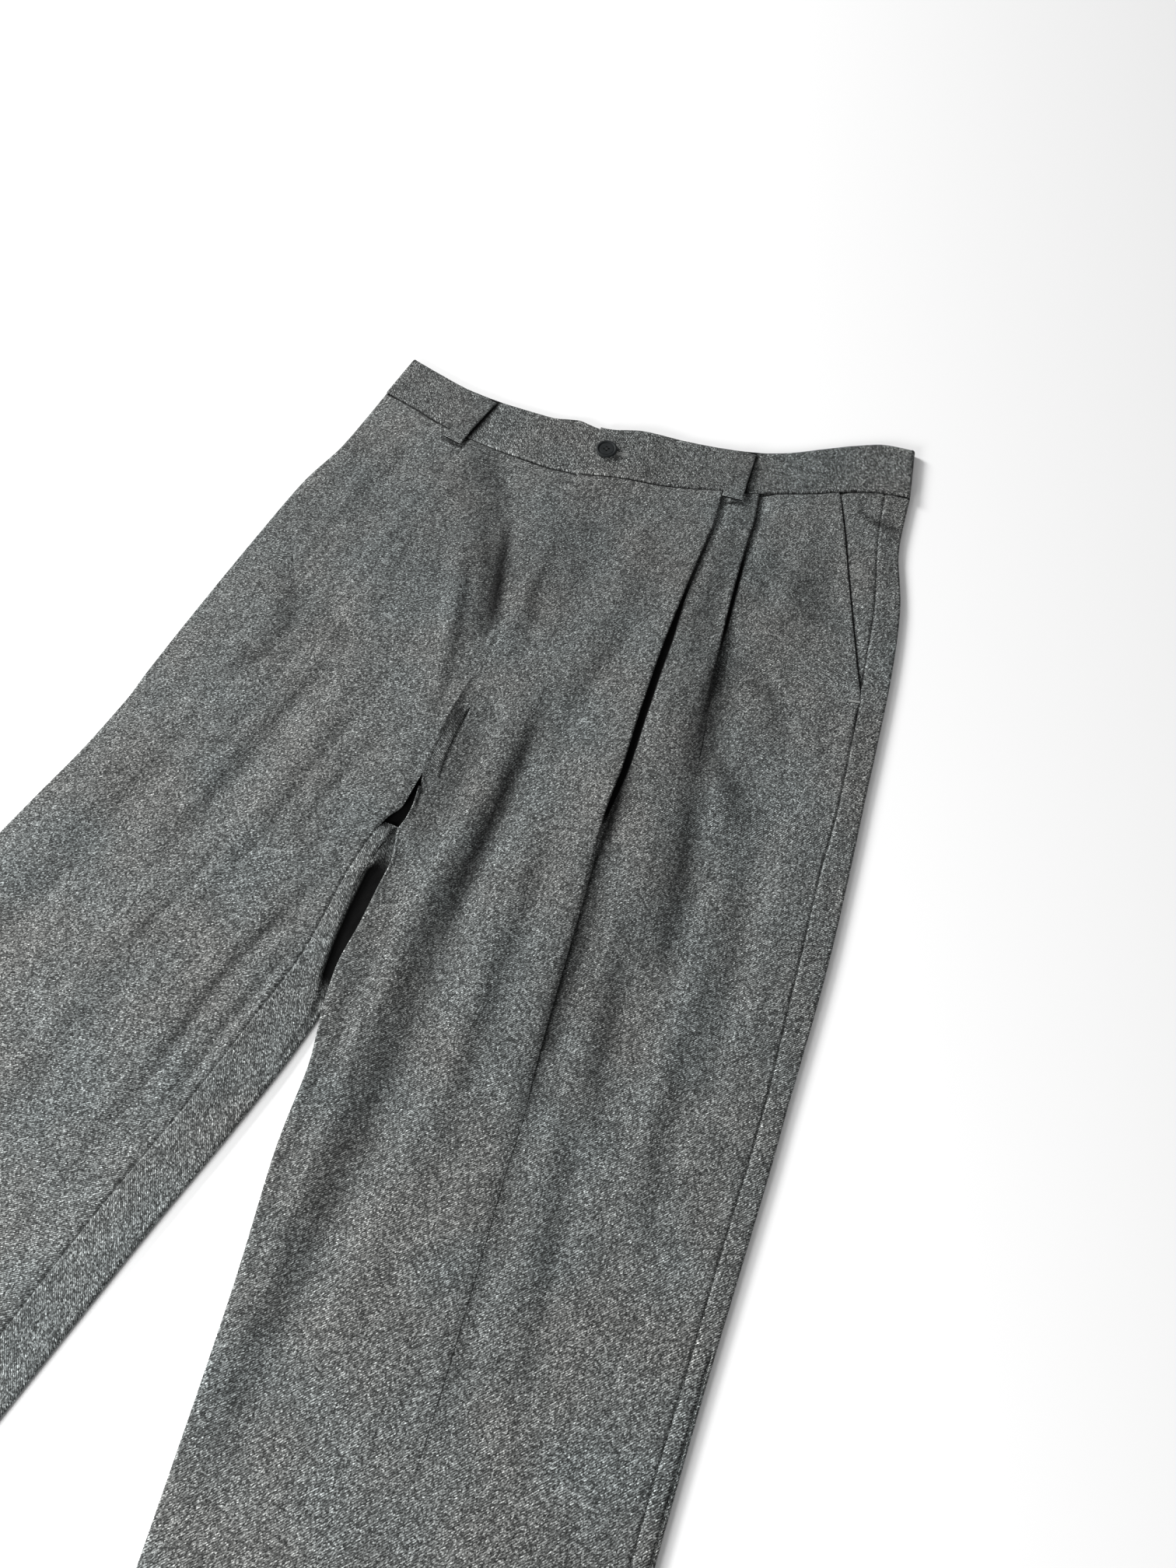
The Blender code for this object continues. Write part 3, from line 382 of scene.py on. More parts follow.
def tab_height(x):
    """Height of the band's left front, which lies over the right one at the fly."""
    return BAND_FRONT + TAB_RISE * fall(x - TAB_FLAT_TO, TAB_EASE_TO - TAB_FLAT_TO)


def half_round(centre, side, low, high, steps):
    """(along, height) up a half circle that bulges towards 'side', -1 or 1."""
    radius = (high - low) / 2
    return [(centre + side * radius * math.sin(math.pi * k / steps),
             low + radius * (1 - math.cos(math.pi * k / steps))) for k in range(steps + 1)]


class Leg:
    """The section rows of one leg; places on them are 'along' from the inner edge."""

    def __init__(self, table, side):
        self.table = table
        self.side = side
        self.station = table.stations()[:, None]
        self.size = table.at(self.station)
        dx = self.size["outer_x"] - self.size["inner_x"]
        dy = self.size["outer_y"] - self.size["inner_y"]
        self.width = np.hypot(dx, dy)
        self.across = (dx / self.width, dy / self.width)
        self.in_pocket = 1 - fall(POCKET_END + 0.2 - self.station, 0.2)
        self.rolled = self.size["roll"] > 0.999

    def plan(self, along):
        x = self.size["inner_x"] + along * self.across[0]
        y = self.size["inner_y"] + along * self.across[1]
        inner_x, inner_y, outer_x, outer_y = self.table.values[0, :4]
        rise = (outer_y - inner_y) / (outer_x - inner_x)
        sag = waist_seam(x) - inner_y - (x - inner_x) * rise
        return x, y + sag * fall(self.station, WAIST_REACH)

    def top(self, along):
        """Height of the upper cloth, pleats apart."""
        along = np.broadcast_to(along, np.broadcast_shapes(np.shape(along), self.width.shape))
        size = self.size
        x, y = self.plan(along)
        from_inner = np.maximum(along, 0.0)
        from_outer = np.maximum(self.width - along, 0.0)
        calm = (1 - fall(from_inner, EDGE_CALM)) * (1 - fall(from_outer, EDGE_CALM))
        height = size["loft"] + crease_fields(x, y)[0] * calm
        height = height + (size["rim"] - size["loft"]) * fall(from_inner, FALL_WIDTH)
        height = height + (OUTER_RIM - size["loft"]) * fall(from_outer, FALL_WIDTH)
        band = tab_height(x) if self.side > 0 else BAND_FRONT
        near_band = fall(self.station, BAND_REACH) * (1 - fall(from_outer, FALL_WIDTH))
        height = np.maximum(mix(height, band, near_band), LOWEST_TOP)
        return height - WAIST_DITCH * fall(waist_seam(x) - y, WAIST_DITCH_WIDTH)

    def crease_dark(self, along):
        """Shade painted on the floor of a crease, or in the ditch under the band."""
        x, y = self.plan(np.broadcast_to(along, self.width.shape))
        under_band = fall(waist_seam(x) - y - WAIST_DARK_FROM, WAIST_DARK_WIDTH)
        return np.maximum(crease_fields(x, y)[1], WAIST_DITCH_DARK * under_band)

    def mouth(self):
        """Edge of the slanted pocket, or of the front piece below it."""
        seam = self.width - self.size["inset"]
        return mix(seam, np.minimum(POCKET_MOUTH.at(self.station)["at"], seam), self.in_pocket)

    def outer_roll(self):
        """(along, height) round the outer edge from the upper cloth to the lower."""
        centre = self.width - WALL / 2 - (OUTER_RIM - ON_FLOOR) / 2
        return half_round(centre, 1, ON_FLOOR, OUTER_RIM, 10)[::-1]

    def columns(self, places):
        """(along, height, shade) columns to points of a grid, and the shade painted on them."""
        shape = self.station.shape
        along, height, shade = (
            np.concatenate([np.broadcast_to(place[k], shape) for place in places], 1)
            for k in range(3))
        x, y = self.plan(along)
        return np.stack([x, y, height], -1), shade


def sewn_edge(leg, seam, side, shade, reach=SEAM_SHADE_REACH):
    """Columns that come up to a seam from 'side' and dip into it, with shade painted by the ditch.
    """
    places = []
    for away in (9.0, 6.5, 4.5, 3.0, 2.0, 1.3, 0.8, 0.4, 0.0):
        along = seam + side * away
        allowance = ALLOWANCE_RISE * fall(away - ALLOWANCE_TO, ALLOWANCE_TO)
        places.append((along, leg.top(along) + allowance - DITCH * fall(away, DITCH_WIDTH),
                       np.maximum(shade * fall(away, reach), leg.crease_dark(along))))
    return places


def front_columns(leg, begin, end, pleats, spread):
    """Columns over a front from 'begin' to 'end' through its pleats."""
    places = []
    left, hidden, gap, sink = begin, 0.0, 0.0, 0.0
    for number in range(len(pleats) + 1):
        open_fold = np.clip(gap / WIDE_OPEN, 0, 1)
        lip = mix(BEHIND_PLEAT, PLEAT_LIP, open_fold)
        slot = hidden + gap

        def lower(along, slot=slot, lip=lip, sink=sink, open_fold=open_fold, left=left):
            past = np.maximum(along - left - slot, 0.0)
            gentle = fall(past, BEHIND_PLEAT)
            steep = LIP_SHARE * fall(past, lip) + (1 - LIP_SHARE) * gentle
            return sink * mix(gentle, steep, open_fold)

        near = [0.0]
        if number:
            near = [0.0, 0.6 * hidden, hidden, hidden + 0.5 * gap, slot, slot + 0.4, slot + 0.8,
                    slot + 1.3, slot + 1.9, slot + 3.0]
        stretch = [left + away for away in near]
        if number == len(pleats):
            stop = end
        else:
            fold = pleats[number].at(leg.station)
            angle = np.radians(fold["turn"])
            stop = fold["at"] - FOLD_RADIUS * np.sin(np.minimum(angle, math.pi / 2))
        stretch += [mix(stretch[-1], stop, k / spread[number]) for k in range(1, spread[number] + 1)]
        # shade painted in the slot of an open fold, or on the creases, whichever is darker
        shades = []
        for along in stretch:
            past_slot = along - left - slot - MOUTH_DARK_FROM
            mouth_dark = open_fold * fall(past_slot, MOUTH_DARK_WIDTH)
            shades.append(np.maximum(mouth_dark, leg.crease_dark(along)))
        heights = [leg.top(along) - lower(along) for along in stretch]
        if number < len(pleats):
            steps = []
            for k in range(1, FOLD_STEPS + 1):
                a = angle * k / FOLD_STEPS
                steps.append((FOLD_RADIUS * np.sin(a), -FOLD_RADIUS * (1 - np.cos(a))))
            run, drop = steps[-1]
            lap_run, lap_drop = fold["lap"] * np.cos(angle), fold["lap"] * np.sin(angle)
            steps.append((run + 0.5 * lap_run, drop - 0.5 * lap_drop))
            run, drop = run + lap_run, drop - lap_drop
            for k in range(FOLD_STEPS + 1):
                a = angle * (1 - k / FOLD_STEPS)
                steps.append((run + FOLD_RADIUS * (np.sin(angle) - np.sin(a)),
                              drop + FOLD_RADIUS * (np.cos(angle) - np.cos(a))))
            deep = -steps[-1][1]
            next_sink = fold["sink"] * np.minimum(deep / (2 * PLY), 1.0)
            low = leg.top(stop) - next_sink
            reach = np.minimum(AHEAD_OF_PLEAT, stop - left - slot)
            heights = [mix(height, low + deep, fall(stop - along, reach))
                       for along, height in zip(stretch, heights)]
            opened = np.clip(fold["gap"] / WIDE_OPEN, 0, 1)
            # shade painted on the cloth turned under an open fold
            under = [opened * min(max((k - 1) / 3, 0), 1) for k in range(1, len(steps))]
            turned = [(stop + r, low + deep + d, np.maximum(s, leg.crease_dark(stop + r)))
                      for (r, d), s in zip(steps[:-1], under)]
            next_left = stop + steps[-1][0]
            places += list(zip(stretch, heights, shades)) + turned
            left, hidden, gap, sink = next_left, fold["at"] - next_left, fold["gap"], next_sink
        else:
            places += list(zip(stretch, heights, shades))
    return places


def cut_place(grid, start, side, grain):
    """Where each point lies in the flat cut, in mm: across the grain, and along it."""
    angle = math.radians(grain)
    across = grid[..., 0] * math.cos(angle) - grid[..., 1] * math.sin(angle)
    up = grid[..., 0] * math.sin(angle) + grid[..., 1] * math.cos(angle)
    step = np.diff(across, axis=1) * side
    turned = np.where(step < 0, -1.0, 1.0)
    first = np.zeros((len(grid), 1))
    u = side * np.cumsum(np.hstack([first, np.hypot(step, np.diff(grid[..., 2], axis=1))]), 1)
    v = np.cumsum(np.hstack([first, turned * np.diff(up, axis=1)]), 1)
    u += (across - u)[:, start:start + 1]
    v += (up - v)[:, start:start + 1]
    return np.stack([u, v], -1)


def face_up(grid, side):
    """Unit vectors out of the cloth's right side."""
    normal = np.cross(np.gradient(grid, axis=1), np.gradient(grid, axis=0)) * -side
    return normal / np.maximum(np.linalg.norm(normal, axis=-1, keepdims=True), 1e-9)


def turn_up_hem(grid, shade, cut, side):
    """Adds rows that turn in round the hem and run back up inside the leg."""
    inward = -face_up(grid, side)[-1]
    down = grid[-1] - grid[-2]
    down = down / np.linalg.norm(down, axis=-1, keepdims=True)
    rows, cuts = [], []
    for k in range(1, 6):
        a = math.pi * k / 5
        rows.append(grid[-1] + TURN * (down * math.sin(a) + inward * (1 - math.cos(a))))
        cuts.append(TURN * a)
    for run in (HEM_TURN_UP / 2, HEM_TURN_UP):
        rows.append(grid[-1] + 2 * TURN * inward - run * down)
        cuts.append(TURN * math.pi + run)
    more_shade = np.repeat(shade[-1:], len(rows), 0)
    more_cut = np.stack([cut[-1] - (0, length) for length in cuts])
    return (np.concatenate([grid, np.stack(rows)]), np.concatenate([shade, more_shade]),
            np.concatenate([cut, more_cut]))


def in_metres(points):
    return (np.asarray(points, float) - MIDDLE) * MM


def cloth_mesh(name, points, faces, cut, shade):
    """A mesh with the place in the cut as its UV map, and the shade painted on each point, a
    highlight where it is below 0.
    """
    mesh = bpy.data.meshes.new(name)
    mesh.from_pydata(in_metres(points).tolist(), [], faces.tolist())
    corners = np.zeros(len(mesh.loops), np.int32)
    mesh.loops.foreach_get("vertex_index", corners)
    grain = mesh.uv_layers.new(name="grain")
    grain.data.foreach_set("uv", (cut[corners] * MM).astype(np.float32).ravel())
    # shade painted on the cloth, 0 to 1; below 0 it is a painted highlight
    depth = mesh.attributes.new("painted_light_and_shade", "FLOAT", "POINT")
    depth.data.foreach_set("value", shade.astype(np.float32))
    edit = bmesh.new()
    edit.from_mesh(mesh)
    bmesh.ops.delete(edit, geom=[v for v in edit.verts if not v.link_faces], context="VERTS")
    edit.to_mesh(mesh)
    edit.free()
    mesh.shade_smooth()
    return mesh


def flat_cut(cut, keep, grid):
    """(width, length) and area of the cut, in metres and square metres."""
    one_diagonal, other_diagonal = grid[1:, 1:] - grid[:-1, :-1], grid[1:, :-1] - grid[:-1, 1:]
    quads = np.linalg.norm(np.cross(one_diagonal, other_diagonal), axis=-1) / 2
    used = np.zeros(grid.shape[:2], bool)
    for down in (0, 1):
        for aside in (0, 1):
            used[down:len(used) - 1 + down, aside:used.shape[1] - 1 + aside] |= keep
    width, length = (np.ptp(cut[used], axis=0) * MM).tolist()
    area = float(quads[keep].sum()) * MM * MM
    return (width, length), min(area, width * length)


def cloth(name, grid, shade, cut, side, finish, keep=None):
    """A shell of cloth about a grid of middle points, dressed in its finish."""
    index = np.arange(grid.shape[0] * grid.shape[1]).reshape(grid.shape[:2])
    faces = np.stack([index[:-1, :-1], index[:-1, 1:], index[1:, 1:], index[1:, :-1]], -1)
    if keep is None:
        keep = np.ones(faces.shape[:2], bool)
    faces = faces[keep]
    if side > 0:
        faces = faces[:, ::-1]
    mesh = cloth_mesh(name + "_cloth", grid.reshape(-1, 3), faces, cut.reshape(-1, 2),
                      shade.ravel())
    piece = bpy.data.objects.new(name + "_cloth", mesh)
    bpy.context.scene.collection.objects.link(piece)
    mesh.materials.append(finish)
    wall = piece.modifiers.new("cloth wall", "SOLIDIFY")
    wall.thickness = WALL * MM
    wall.offset = 0.0
    wall.use_quality_normals = True
    flat, area = flat_cut(cut, keep, grid)
    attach(piece, "root")
    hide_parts(name)
    return piece


WALE_ANGLE = 47.5         # from the grain
WALE_SPACING = 0.965
FLOAT_WIDTH = 0.55
FLOAT_LENGTH = 1.05
HAIRS_A_FLOAT = 0.9       # and how strong they are, in shares of the flecks
HAIRINESS = 2.6
CLOUDS_A_METRE = 75.0     # soft patches of lighter and darker wool, and how strong they are
CLOUDINESS = 0.9
HUES_A_METRE = 14.0
PAINTED_SHADE_POWER = 1.3    # how fast the painted shade darkens the colour
COCKLES_A_METRE = 70.0
COCKLE_DEPTH = 1.9


def wool_twill(name, tone, fleck, wale):
    """Melange twill: pale and dark floats along the wales, in cloth of an uneven grey, darkened by
    painted shade and lightened by painted highlights.
    """
    made = bpy.data.materials.new(name)
    made.use_nodes = True
    nodes, links = made.node_tree.nodes, made.node_tree.links
    shader = nodes["Principled BSDF"]
    shader.inputs["Roughness"].default_value = 0.95
    shader.inputs["Specular IOR Level"].default_value = 0.12
    shader.inputs["Sheen Weight"].default_value = 0.05
    shader.inputs["Sheen Roughness"].default_value = 0.5

    def node(kind, **settings):
        made_node = nodes.new(kind)
        for key, value in settings.items():
            setattr(made_node, key, value)
        return made_node

    def maths(operation, first, second):
        result = node("ShaderNodeMath", operation=operation)
        for socket, value in zip(result.inputs, (first, second)):
            if isinstance(value, (int, float)):
                socket.default_value = value
            else:
                links.new(value, socket)
        return result.outputs[0]

    def uneven(scale, detail, vector, dimensions="3D"):
        """Noise about 0."""
        noise = node("ShaderNodeTexNoise", noise_dimensions=dimensions)
        noise.inputs["Scale"].default_value = scale
        noise.inputs["Detail"].default_value = detail
        noise.inputs["Roughness"].default_value = 0.7
        links.new(vector, noise.inputs["Vector"])
        return maths("SUBTRACT", noise.outputs[0], 0.5)

    grain = node("ShaderNodeUVMap", uv_map="grain")
    wales = node("ShaderNodeMapping")                 # x across the wales, y along them, mm
    wales.inputs["Scale"].default_value = (1000, 1000, 1000)
    wales.inputs["Rotation"].default_value = (0, 0, math.radians(WALE_ANGLE))
    links.new(grain.outputs[0], wales.inputs["Vector"])
    floats = node("ShaderNodeMapping")
    floats.inputs["Scale"].default_value = (1 / FLOAT_WIDTH, 1 / FLOAT_LENGTH, 1)
    links.new(wales.outputs[0], floats.inputs["Vector"])
    cells = node("ShaderNodeTexVoronoi", voronoi_dimensions="2D", feature="F1")
    cells.inputs["Scale"].default_value = 1.0
    links.new(floats.outputs[0], cells.inputs["Vector"])
    split = node("ShaderNodeSeparateColor")
    links.new(cells.outputs["Color"], split.inputs[0])
    pale = maths("SUBTRACT", split.outputs[0], 0.5)
    hairs = uneven(HAIRS_A_FLOAT, 3.0, floats.outputs[0], "2D")
    rib = node("ShaderNodeTexWave", wave_type="BANDS", bands_direction="X", wave_profile="SIN")
    rib.inputs["Scale"].default_value = math.pi / 10 / WALE_SPACING
    rib.inputs["Distortion"].default_value = 0.6
    rib.inputs["Detail Scale"].default_value = 0.4
    links.new(wales.outputs[0], rib.inputs["Vector"])
    ribs = maths("SUBTRACT", rib.outputs["Fac"], 0.5)
    place = node("ShaderNodeTexCoord").outputs["Object"]
    clouds = uneven(CLOUDS_A_METRE, 2.5, place)

    strength = maths("MULTIPLY", pale, fleck)
    strength = maths("ADD", strength, maths("MULTIPLY", hairs, HAIRINESS * fleck))
    strength = maths("ADD", strength, maths("MULTIPLY", ribs, wale))
    strength = maths("ADD", strength, maths("MULTIPLY", clouds, CLOUDINESS))
    light = maths("POWER", 2.0, strength)
    # the shade painted on each point darkens the colour; below 0 it is a painted highlight that
    # lightens it
    deep = node("ShaderNodeAttribute", attribute_name="painted_light_and_shade", attribute_type="GEOMETRY")
    kept = maths("MAXIMUM", maths("SUBTRACT", 1.0, deep.outputs["Fac"]), 0.01)
    light = maths("MULTIPLY", light, maths("POWER", kept, PAINTED_SHADE_POWER))

    spread_hue = node("ShaderNodeMapRange")
    spread_hue.inputs["From Min"].default_value = -0.14
    spread_hue.inputs["From Max"].default_value = 0.14
    links.new(uneven(HUES_A_METRE, 1.5, place), spread_hue.inputs["Value"])
    dye = node("ShaderNodeMix", data_type="RGBA")
    dye.inputs[6].default_value = (tone * 0.94, tone * 1.02, tone * 1.015, 1)   # greenish blue
    dye.inputs[7].default_value = (tone * 0.99, tone * 1.01, tone * 0.98, 1)    # nearly neutral
    links.new(spread_hue.outputs[0], dye.inputs[0])
    colour = node("ShaderNodeVectorMath", operation="SCALE")
    links.new(dye.outputs[2], colour.inputs[0])
    links.new(light, colour.inputs["Scale"])
    links.new(colour.outputs[0], shader.inputs["Base Color"])

    weave = node("ShaderNodeBump")
    weave.inputs["Strength"].default_value = 0.5
    weave.inputs["Distance"].default_value = 0.00008
    links.new(maths("ADD", ribs, maths("MULTIPLY", pale, 0.6)), weave.inputs["Height"])
    cockle = node("ShaderNodeBump")                   # slight cockling of pressed wool
    cockle.inputs["Strength"].default_value = 1.0
    cockle.inputs["Distance"].default_value = COCKLE_DEPTH * MM
    links.new(uneven(COCKLES_A_METRE, 2.0, place), cockle.inputs["Height"])
    links.new(weave.outputs[0], cockle.inputs["Normal"])
    links.new(cockle.outputs[0], shader.inputs["Normal"])
    return made


PANEL_WOOL = wool_twill("charcoal wool twill", tone=0.090, fleck=3.0, wale=1.4)

LEFT_LEG = Leg(LEFT, 1)


def rolled_or_turned(leg, turned, rolled):
    """Edge columns: those of the fly down to the crotch, those of the inseam below it."""
    return [tuple(np.where(leg.rolled, b, a) for a, b in zip(one, other))
            for one, other in zip(turned, rolled)]


def below_mouth(leg):
    """1 at the pocket's end, where the seam gapes a little, to 0 further up and down."""
    away = np.abs(leg.station - SEAM_GAPES_AT)
    return fall(np.maximum(away - SEAM_GAPES_OVER, 0.0), SEAM_CLOSES)


def outseam(leg, seam, side, shade, gaping_shade):
    """The sewn edge of the left outseam, with more painted shade over a wider strip where it gapes.
    """
    gapes = below_mouth(leg)
    return sewn_edge(leg, seam, side, mix(shade, gaping_shade, gapes),
                     mix(SEAM_SHADE_REACH, GAPING_SHADE_REACH, gapes))


def left_front():
    leg = LEFT_LEG
    size = leg.size
    fly = (FLY_EDGE.by("y", "x", size["inner_y"]) - size["inner_x"]) / leg.across[0]
    radius = (size["rim"] - size["rest"]) / 2
    nudge = THIGH_EDGE.by("y", "nudge", size["inner_y"])
    begin = mix(fly + TURN, WALL / 2 + radius, size["roll"]) + nudge
    edge_top = leg.top(begin)
    # the turned and rolled edges take the shade painted on the creases where they start
    edge_dark = leg.crease_dark(begin)
    turned = [(begin + x, edge_top - 2 * TURN + z, edge_dark)
              for x, z in half_round(0.0, -1, 0.0, 2 * TURN, 6)[::-1]]
    turned += [(begin + run, edge_top - 2 * TURN, edge_dark) for run in (2.0, 4.0, 6.0, 8.0, 10.0)]
    middle = (size["rest"] + size["rim"]) / 2
    rolled = [(along, height, edge_dark * (height > middle))
              for along, height in half_round(begin, -1, size["rest"], size["rim"], 6)[::-1]]
    ramp = size["under"] - UNDER_RAMP
    foot = size["under"] - UNDER_FOOT
    rolled += [(mix(begin, ramp, 0.5), size["rest"], 0.0), (ramp, size["rest"], 0.0),
               (mix(ramp, foot, 0.5), mix(size["rest"], ON_FLOOR, 0.5), 0.0), (foot, ON_FLOOR, 0.0),
               (size["under"], ON_FLOOR, 0.0)]
    under = rolled_or_turned(leg, turned[1:], rolled[1:])

    mouth = leg.mouth()
    sewn = outseam(leg, mouth, -1, SEAM_SHADE, GAPING_SHADE)
    panel = front_columns(leg, begin, sewn[0][0], (LEFT_PLEAT_1, LEFT_PLEAT_2), (43, 10, 18))
    edge = mouth - TURN
    mouth_top = leg.top(edge)
    fold = [(edge - run, mouth_top, 0.0) for run in (6.0, 4.0, 2.5, 1.2)]
    fold += [(edge + x, mouth_top - 2 * TURN + z, 0.0)
             for x, z in half_round(0.0, 1, 0.0, 2 * TURN, 4)[::-1]]
    seam_end = (mouth, sewn[-1][1] - SEAM_END_DROP, SEAM_END_SHADE)
    outer_edge = [tuple(mix(b, a, leg.in_pocket) for a, b in zip(one, other))
                  for one, other in zip(fold, sewn[1:] + [seam_end])]
    grid, shade = leg.columns(under[::-1] + panel + outer_edge)
    cut = cut_place(grid, len(under), 1, LEFT_GRAIN)
    grid, shade, cut = turn_up_hem(grid, shade, cut, 1)
    keep = np.ones((len(grid) - 1, grid.shape[1] - 1), bool)
    crotch = int(np.argmax(leg.rolled)) - 1        # where the fly's turning ends
    keep[crotch, :len(under)] = False
    return cloth("front_left", grid, shade, cut, 1, PANEL_WOOL,
                 keep)


left_front()


# --- left back --------------------------------------------------------------------
# The seat and leg behind the wearer's left leg. The trousers are rolled towards the other
# side, so its outer strip shows in front: it is sewn to the left front along the outseam,
# rounds the outer edge, and lies flat underneath to the seat seam and the inseam.

SEAT_SEAM = Table("y x", [
    (-300, 15), (-262, 19), (-235, 25), (-190, 34), (-140, 42), (-90, 48), (-45, 52), (0, 55),
    (60, 57)])
SEAT_SEAM_TOP = 56.0      # where the band's halves meet behind
HIDDEN_LOOPS = {          # seam_x of their middles
    "belt_loop_back_right": -34.0,
    "belt_loop_back_centre": 56.0,
    "belt_loop_back_left": 146.0,
}
LOOP_WIDTH = 14.0
LOOP_DROP = 9.0           # how far a loop ends below the waist seam
LOOP_CLEAR = 2.0          # cloth stays up this far past a hidden loop
LOOP_EASE = 16.0          # and eases down over this
HIDDEN_RISE = 1.5         # the cloth on a hidden loop lies this much higher
BACK_SEAM_SHADE = 0.2     # the outer strip's side of the outseam has a little less painted shade,
BACK_GAPING_SHADE = 0.95  # also where the seam gapes
UNDERSIDE_COLUMNS = 26


def over_hidden_loops(x, below_seam):
    """Lift of the cloth that lies on the loops of the hidden side."""
    lift = 0.0
    for centre in HIDDEN_LOOPS.values():
        beside = np.maximum(np.abs(x - centre) - LOOP_WIDTH / 2 - LOOP_CLEAR, 0.0)
        lift = np.maximum(lift, fall(beside, LOOP_EASE))
    below_loop = np.maximum(below_seam - LOOP_DROP - 2 * LOOP_CLEAR, 0.0)
    return HIDDEN_RISE * lift * fall(below_loop, LOOP_EASE)


def underside(leg, along):
    """Height of the cloth that rests on the surface, or on a hidden loop."""
    x, y = leg.plan(along)
    return ON_FLOOR + over_hidden_loops(x, waist_seam(x) - y)


def seat_seam(leg):
    """Where the seat seam crosses each row."""
    along = np.zeros(leg.station.shape)
    for _ in range(4):
        x, y = leg.plan(along)
        along = along + (SEAT_SEAM.by("y", "x", y) - x) / leg.across[0]
    return along


def lying_flat(leg, first, last, count):
    """Columns along the underside, after 'first' and up to 'last'."""
    places = [mix(first, last, k / count) for k in range(1, count + 1)]
    return [(along, underside(leg, along), 0.0) for along in places]


def left_back():
    leg = LEFT_LEG
    seam = leg.width - leg.size["inset"]
    round_edge = [(along, height, leg.crease_dark(along) * (height > OUTER_RIM / 2))
                  for along, height in leg.outer_roll()]
    sewn = outseam(leg, seam, 1, BACK_SEAM_SHADE, BACK_GAPING_SHADE)[::-1]
    strip = sewn[:-1]
    for t in (0.0, 0.5):
        along = mix(sewn[-1][0], round_edge[0][0], t)
        strip.append((along, leg.top(along), leg.crease_dark(along)))
    inner = mix(seat_seam(leg), leg.size["under"], leg.size["roll"])
    run = lying_flat(leg, round_edge[-1][0], inner, UNDERSIDE_COLUMNS)
    grid, shade = leg.columns(strip + round_edge + run)
    cut = cut_place(grid, 0, 1, LEFT_GRAIN)
    grid, shade, cut = turn_up_hem(grid, shade, cut, 1)
    return cloth("back_left", grid, shade, cut, 1, FACING_WOOL)


FACING_WOOL = wool_twill("charcoal wool twill, outer strip", tone=0.090, fleck=3.1, wale=1.8)
left_back()


# --- right front ------------------------------------------------------------------
# The wearer's right front, the same cut mirrored. Its fly edge lies under the left one,
# its pleats have fallen shut, and it rounds the outer edge to a pocket that is underneath.

RIGHT_GRAIN = 6.6
# tuck: outseam beneath, in from the outer edge.  rim: edge of the front piece under
# the fly.  seam: where that piece ends, in from the inner edge (under the fly, then
# the inseam on top).  roll: 1 where the back folds round the inner edge and comes up
# to the inseam.  lip: cloth just past that fold.
RIGHT = Table("inner_x inner_y outer_x outer_y tuck rim seam roll lip loft", [
    (0, -4, -161, 11, 39, 4.3, -7, 0, LOWEST_TOP, 4.5),
    (0, -25, -163, -15, 41, 4.3, -7, 0, LOWEST_TOP, 4.5),
    (0, -48, -166, -45, 43, 4.3, -7, 0, LOWEST_TOP, 4.6),
    (0, -90, -175, -85, 47, 4.3, -7, 0, LOWEST_TOP, 4.7),
    (0, -140, -180, -137, 50, 4.3, -7, 0, LOWEST_TOP, 4.8),
    (0, -190, -184, -190, 50, 4.3, -7, 0, LOWEST_TOP, 4.8),
    (0, -235, -187, -240, 48, 4.6, -7, 0, LOWEST_TOP, 4.9),
    (13, -262, -188, -264, 47, 4.8, 7, 0, LOWEST_TOP, 5.0),
    (15.5, -275, -188, -275, 46, 5.0, 10, 0, LOWEST_TOP, 5.0),
    (18, -288, -189, -287, 46, 5.0, 18, 1, LOWEST_TOP, 5.0),
    (24, -332, -193, -320, 43, 5.0, 28, 1, LOWEST_TOP, 5.0),
    (25, -375, -199, -352, 40, 5.0, 28, 1, LOWEST_TOP, 5.0),
    (23, -406, -203, -374, 38, 4.6, 29, 1, 2.6, 4.9),
    (20, -432, -207, -397, 36, 4.3, 30, 1, 3.6, 4.9),
    (11, -481, -213, -444, 34, 4.1, 29, 1, 4.0, 4.7),
    (-1, -538, -221, -500, 32, 4.0, 28, 1, 4.0, 4.6),
    (-22, -650, -239, -612, 30, 4.0, 25, 1, 4.0, 4.4),
    (-47, -785, -262, -749, 28, 4.0, 22, 1, 4.0, 4.3),
    (-71, -913, -283, -879, 26, 4.0, 20, 1, 4.0, 4.2),
    (-90, -1010, -299, -978, 24, 4.0, 20, 1, 4.0, 4.1),
])
# Past its fold the cloth stays low where the other thigh lies on it. shelf: how far.
# ramp: it climbs to full height over this. dark: how much shade is painted on the shelf.
THIGH_GAP = Table("y shelf ramp dark", [
    (-432, 2, 3.2, 0), (-406, 2.5, 4, 0), (-393, 5.5, 5, 0.3), (-386, 10.5, 3.2, 1),
    (-352, 15.5, 3.0, 1), (-325, 16.5, 2.6, 1), (-317, 15, 2.6, 1), (-311, 9.5, 6, 0.6),
    (-300, 7.5, 9, 0.15), (-288, 6.5, 10, 0.1), (-275, 6.5, 10, 0.1)])
SHUT_LAP = 2.5            # both pleats are low and shut, all the way down
SHUT_SINK = 1.1


def shut_pleat(rows):
    """Pleat rows from (at, turn) alone."""
    return Table("at turn lap gap sink", [(at, turn, SHUT_LAP, 0, SHUT_SINK) for at, turn in rows])


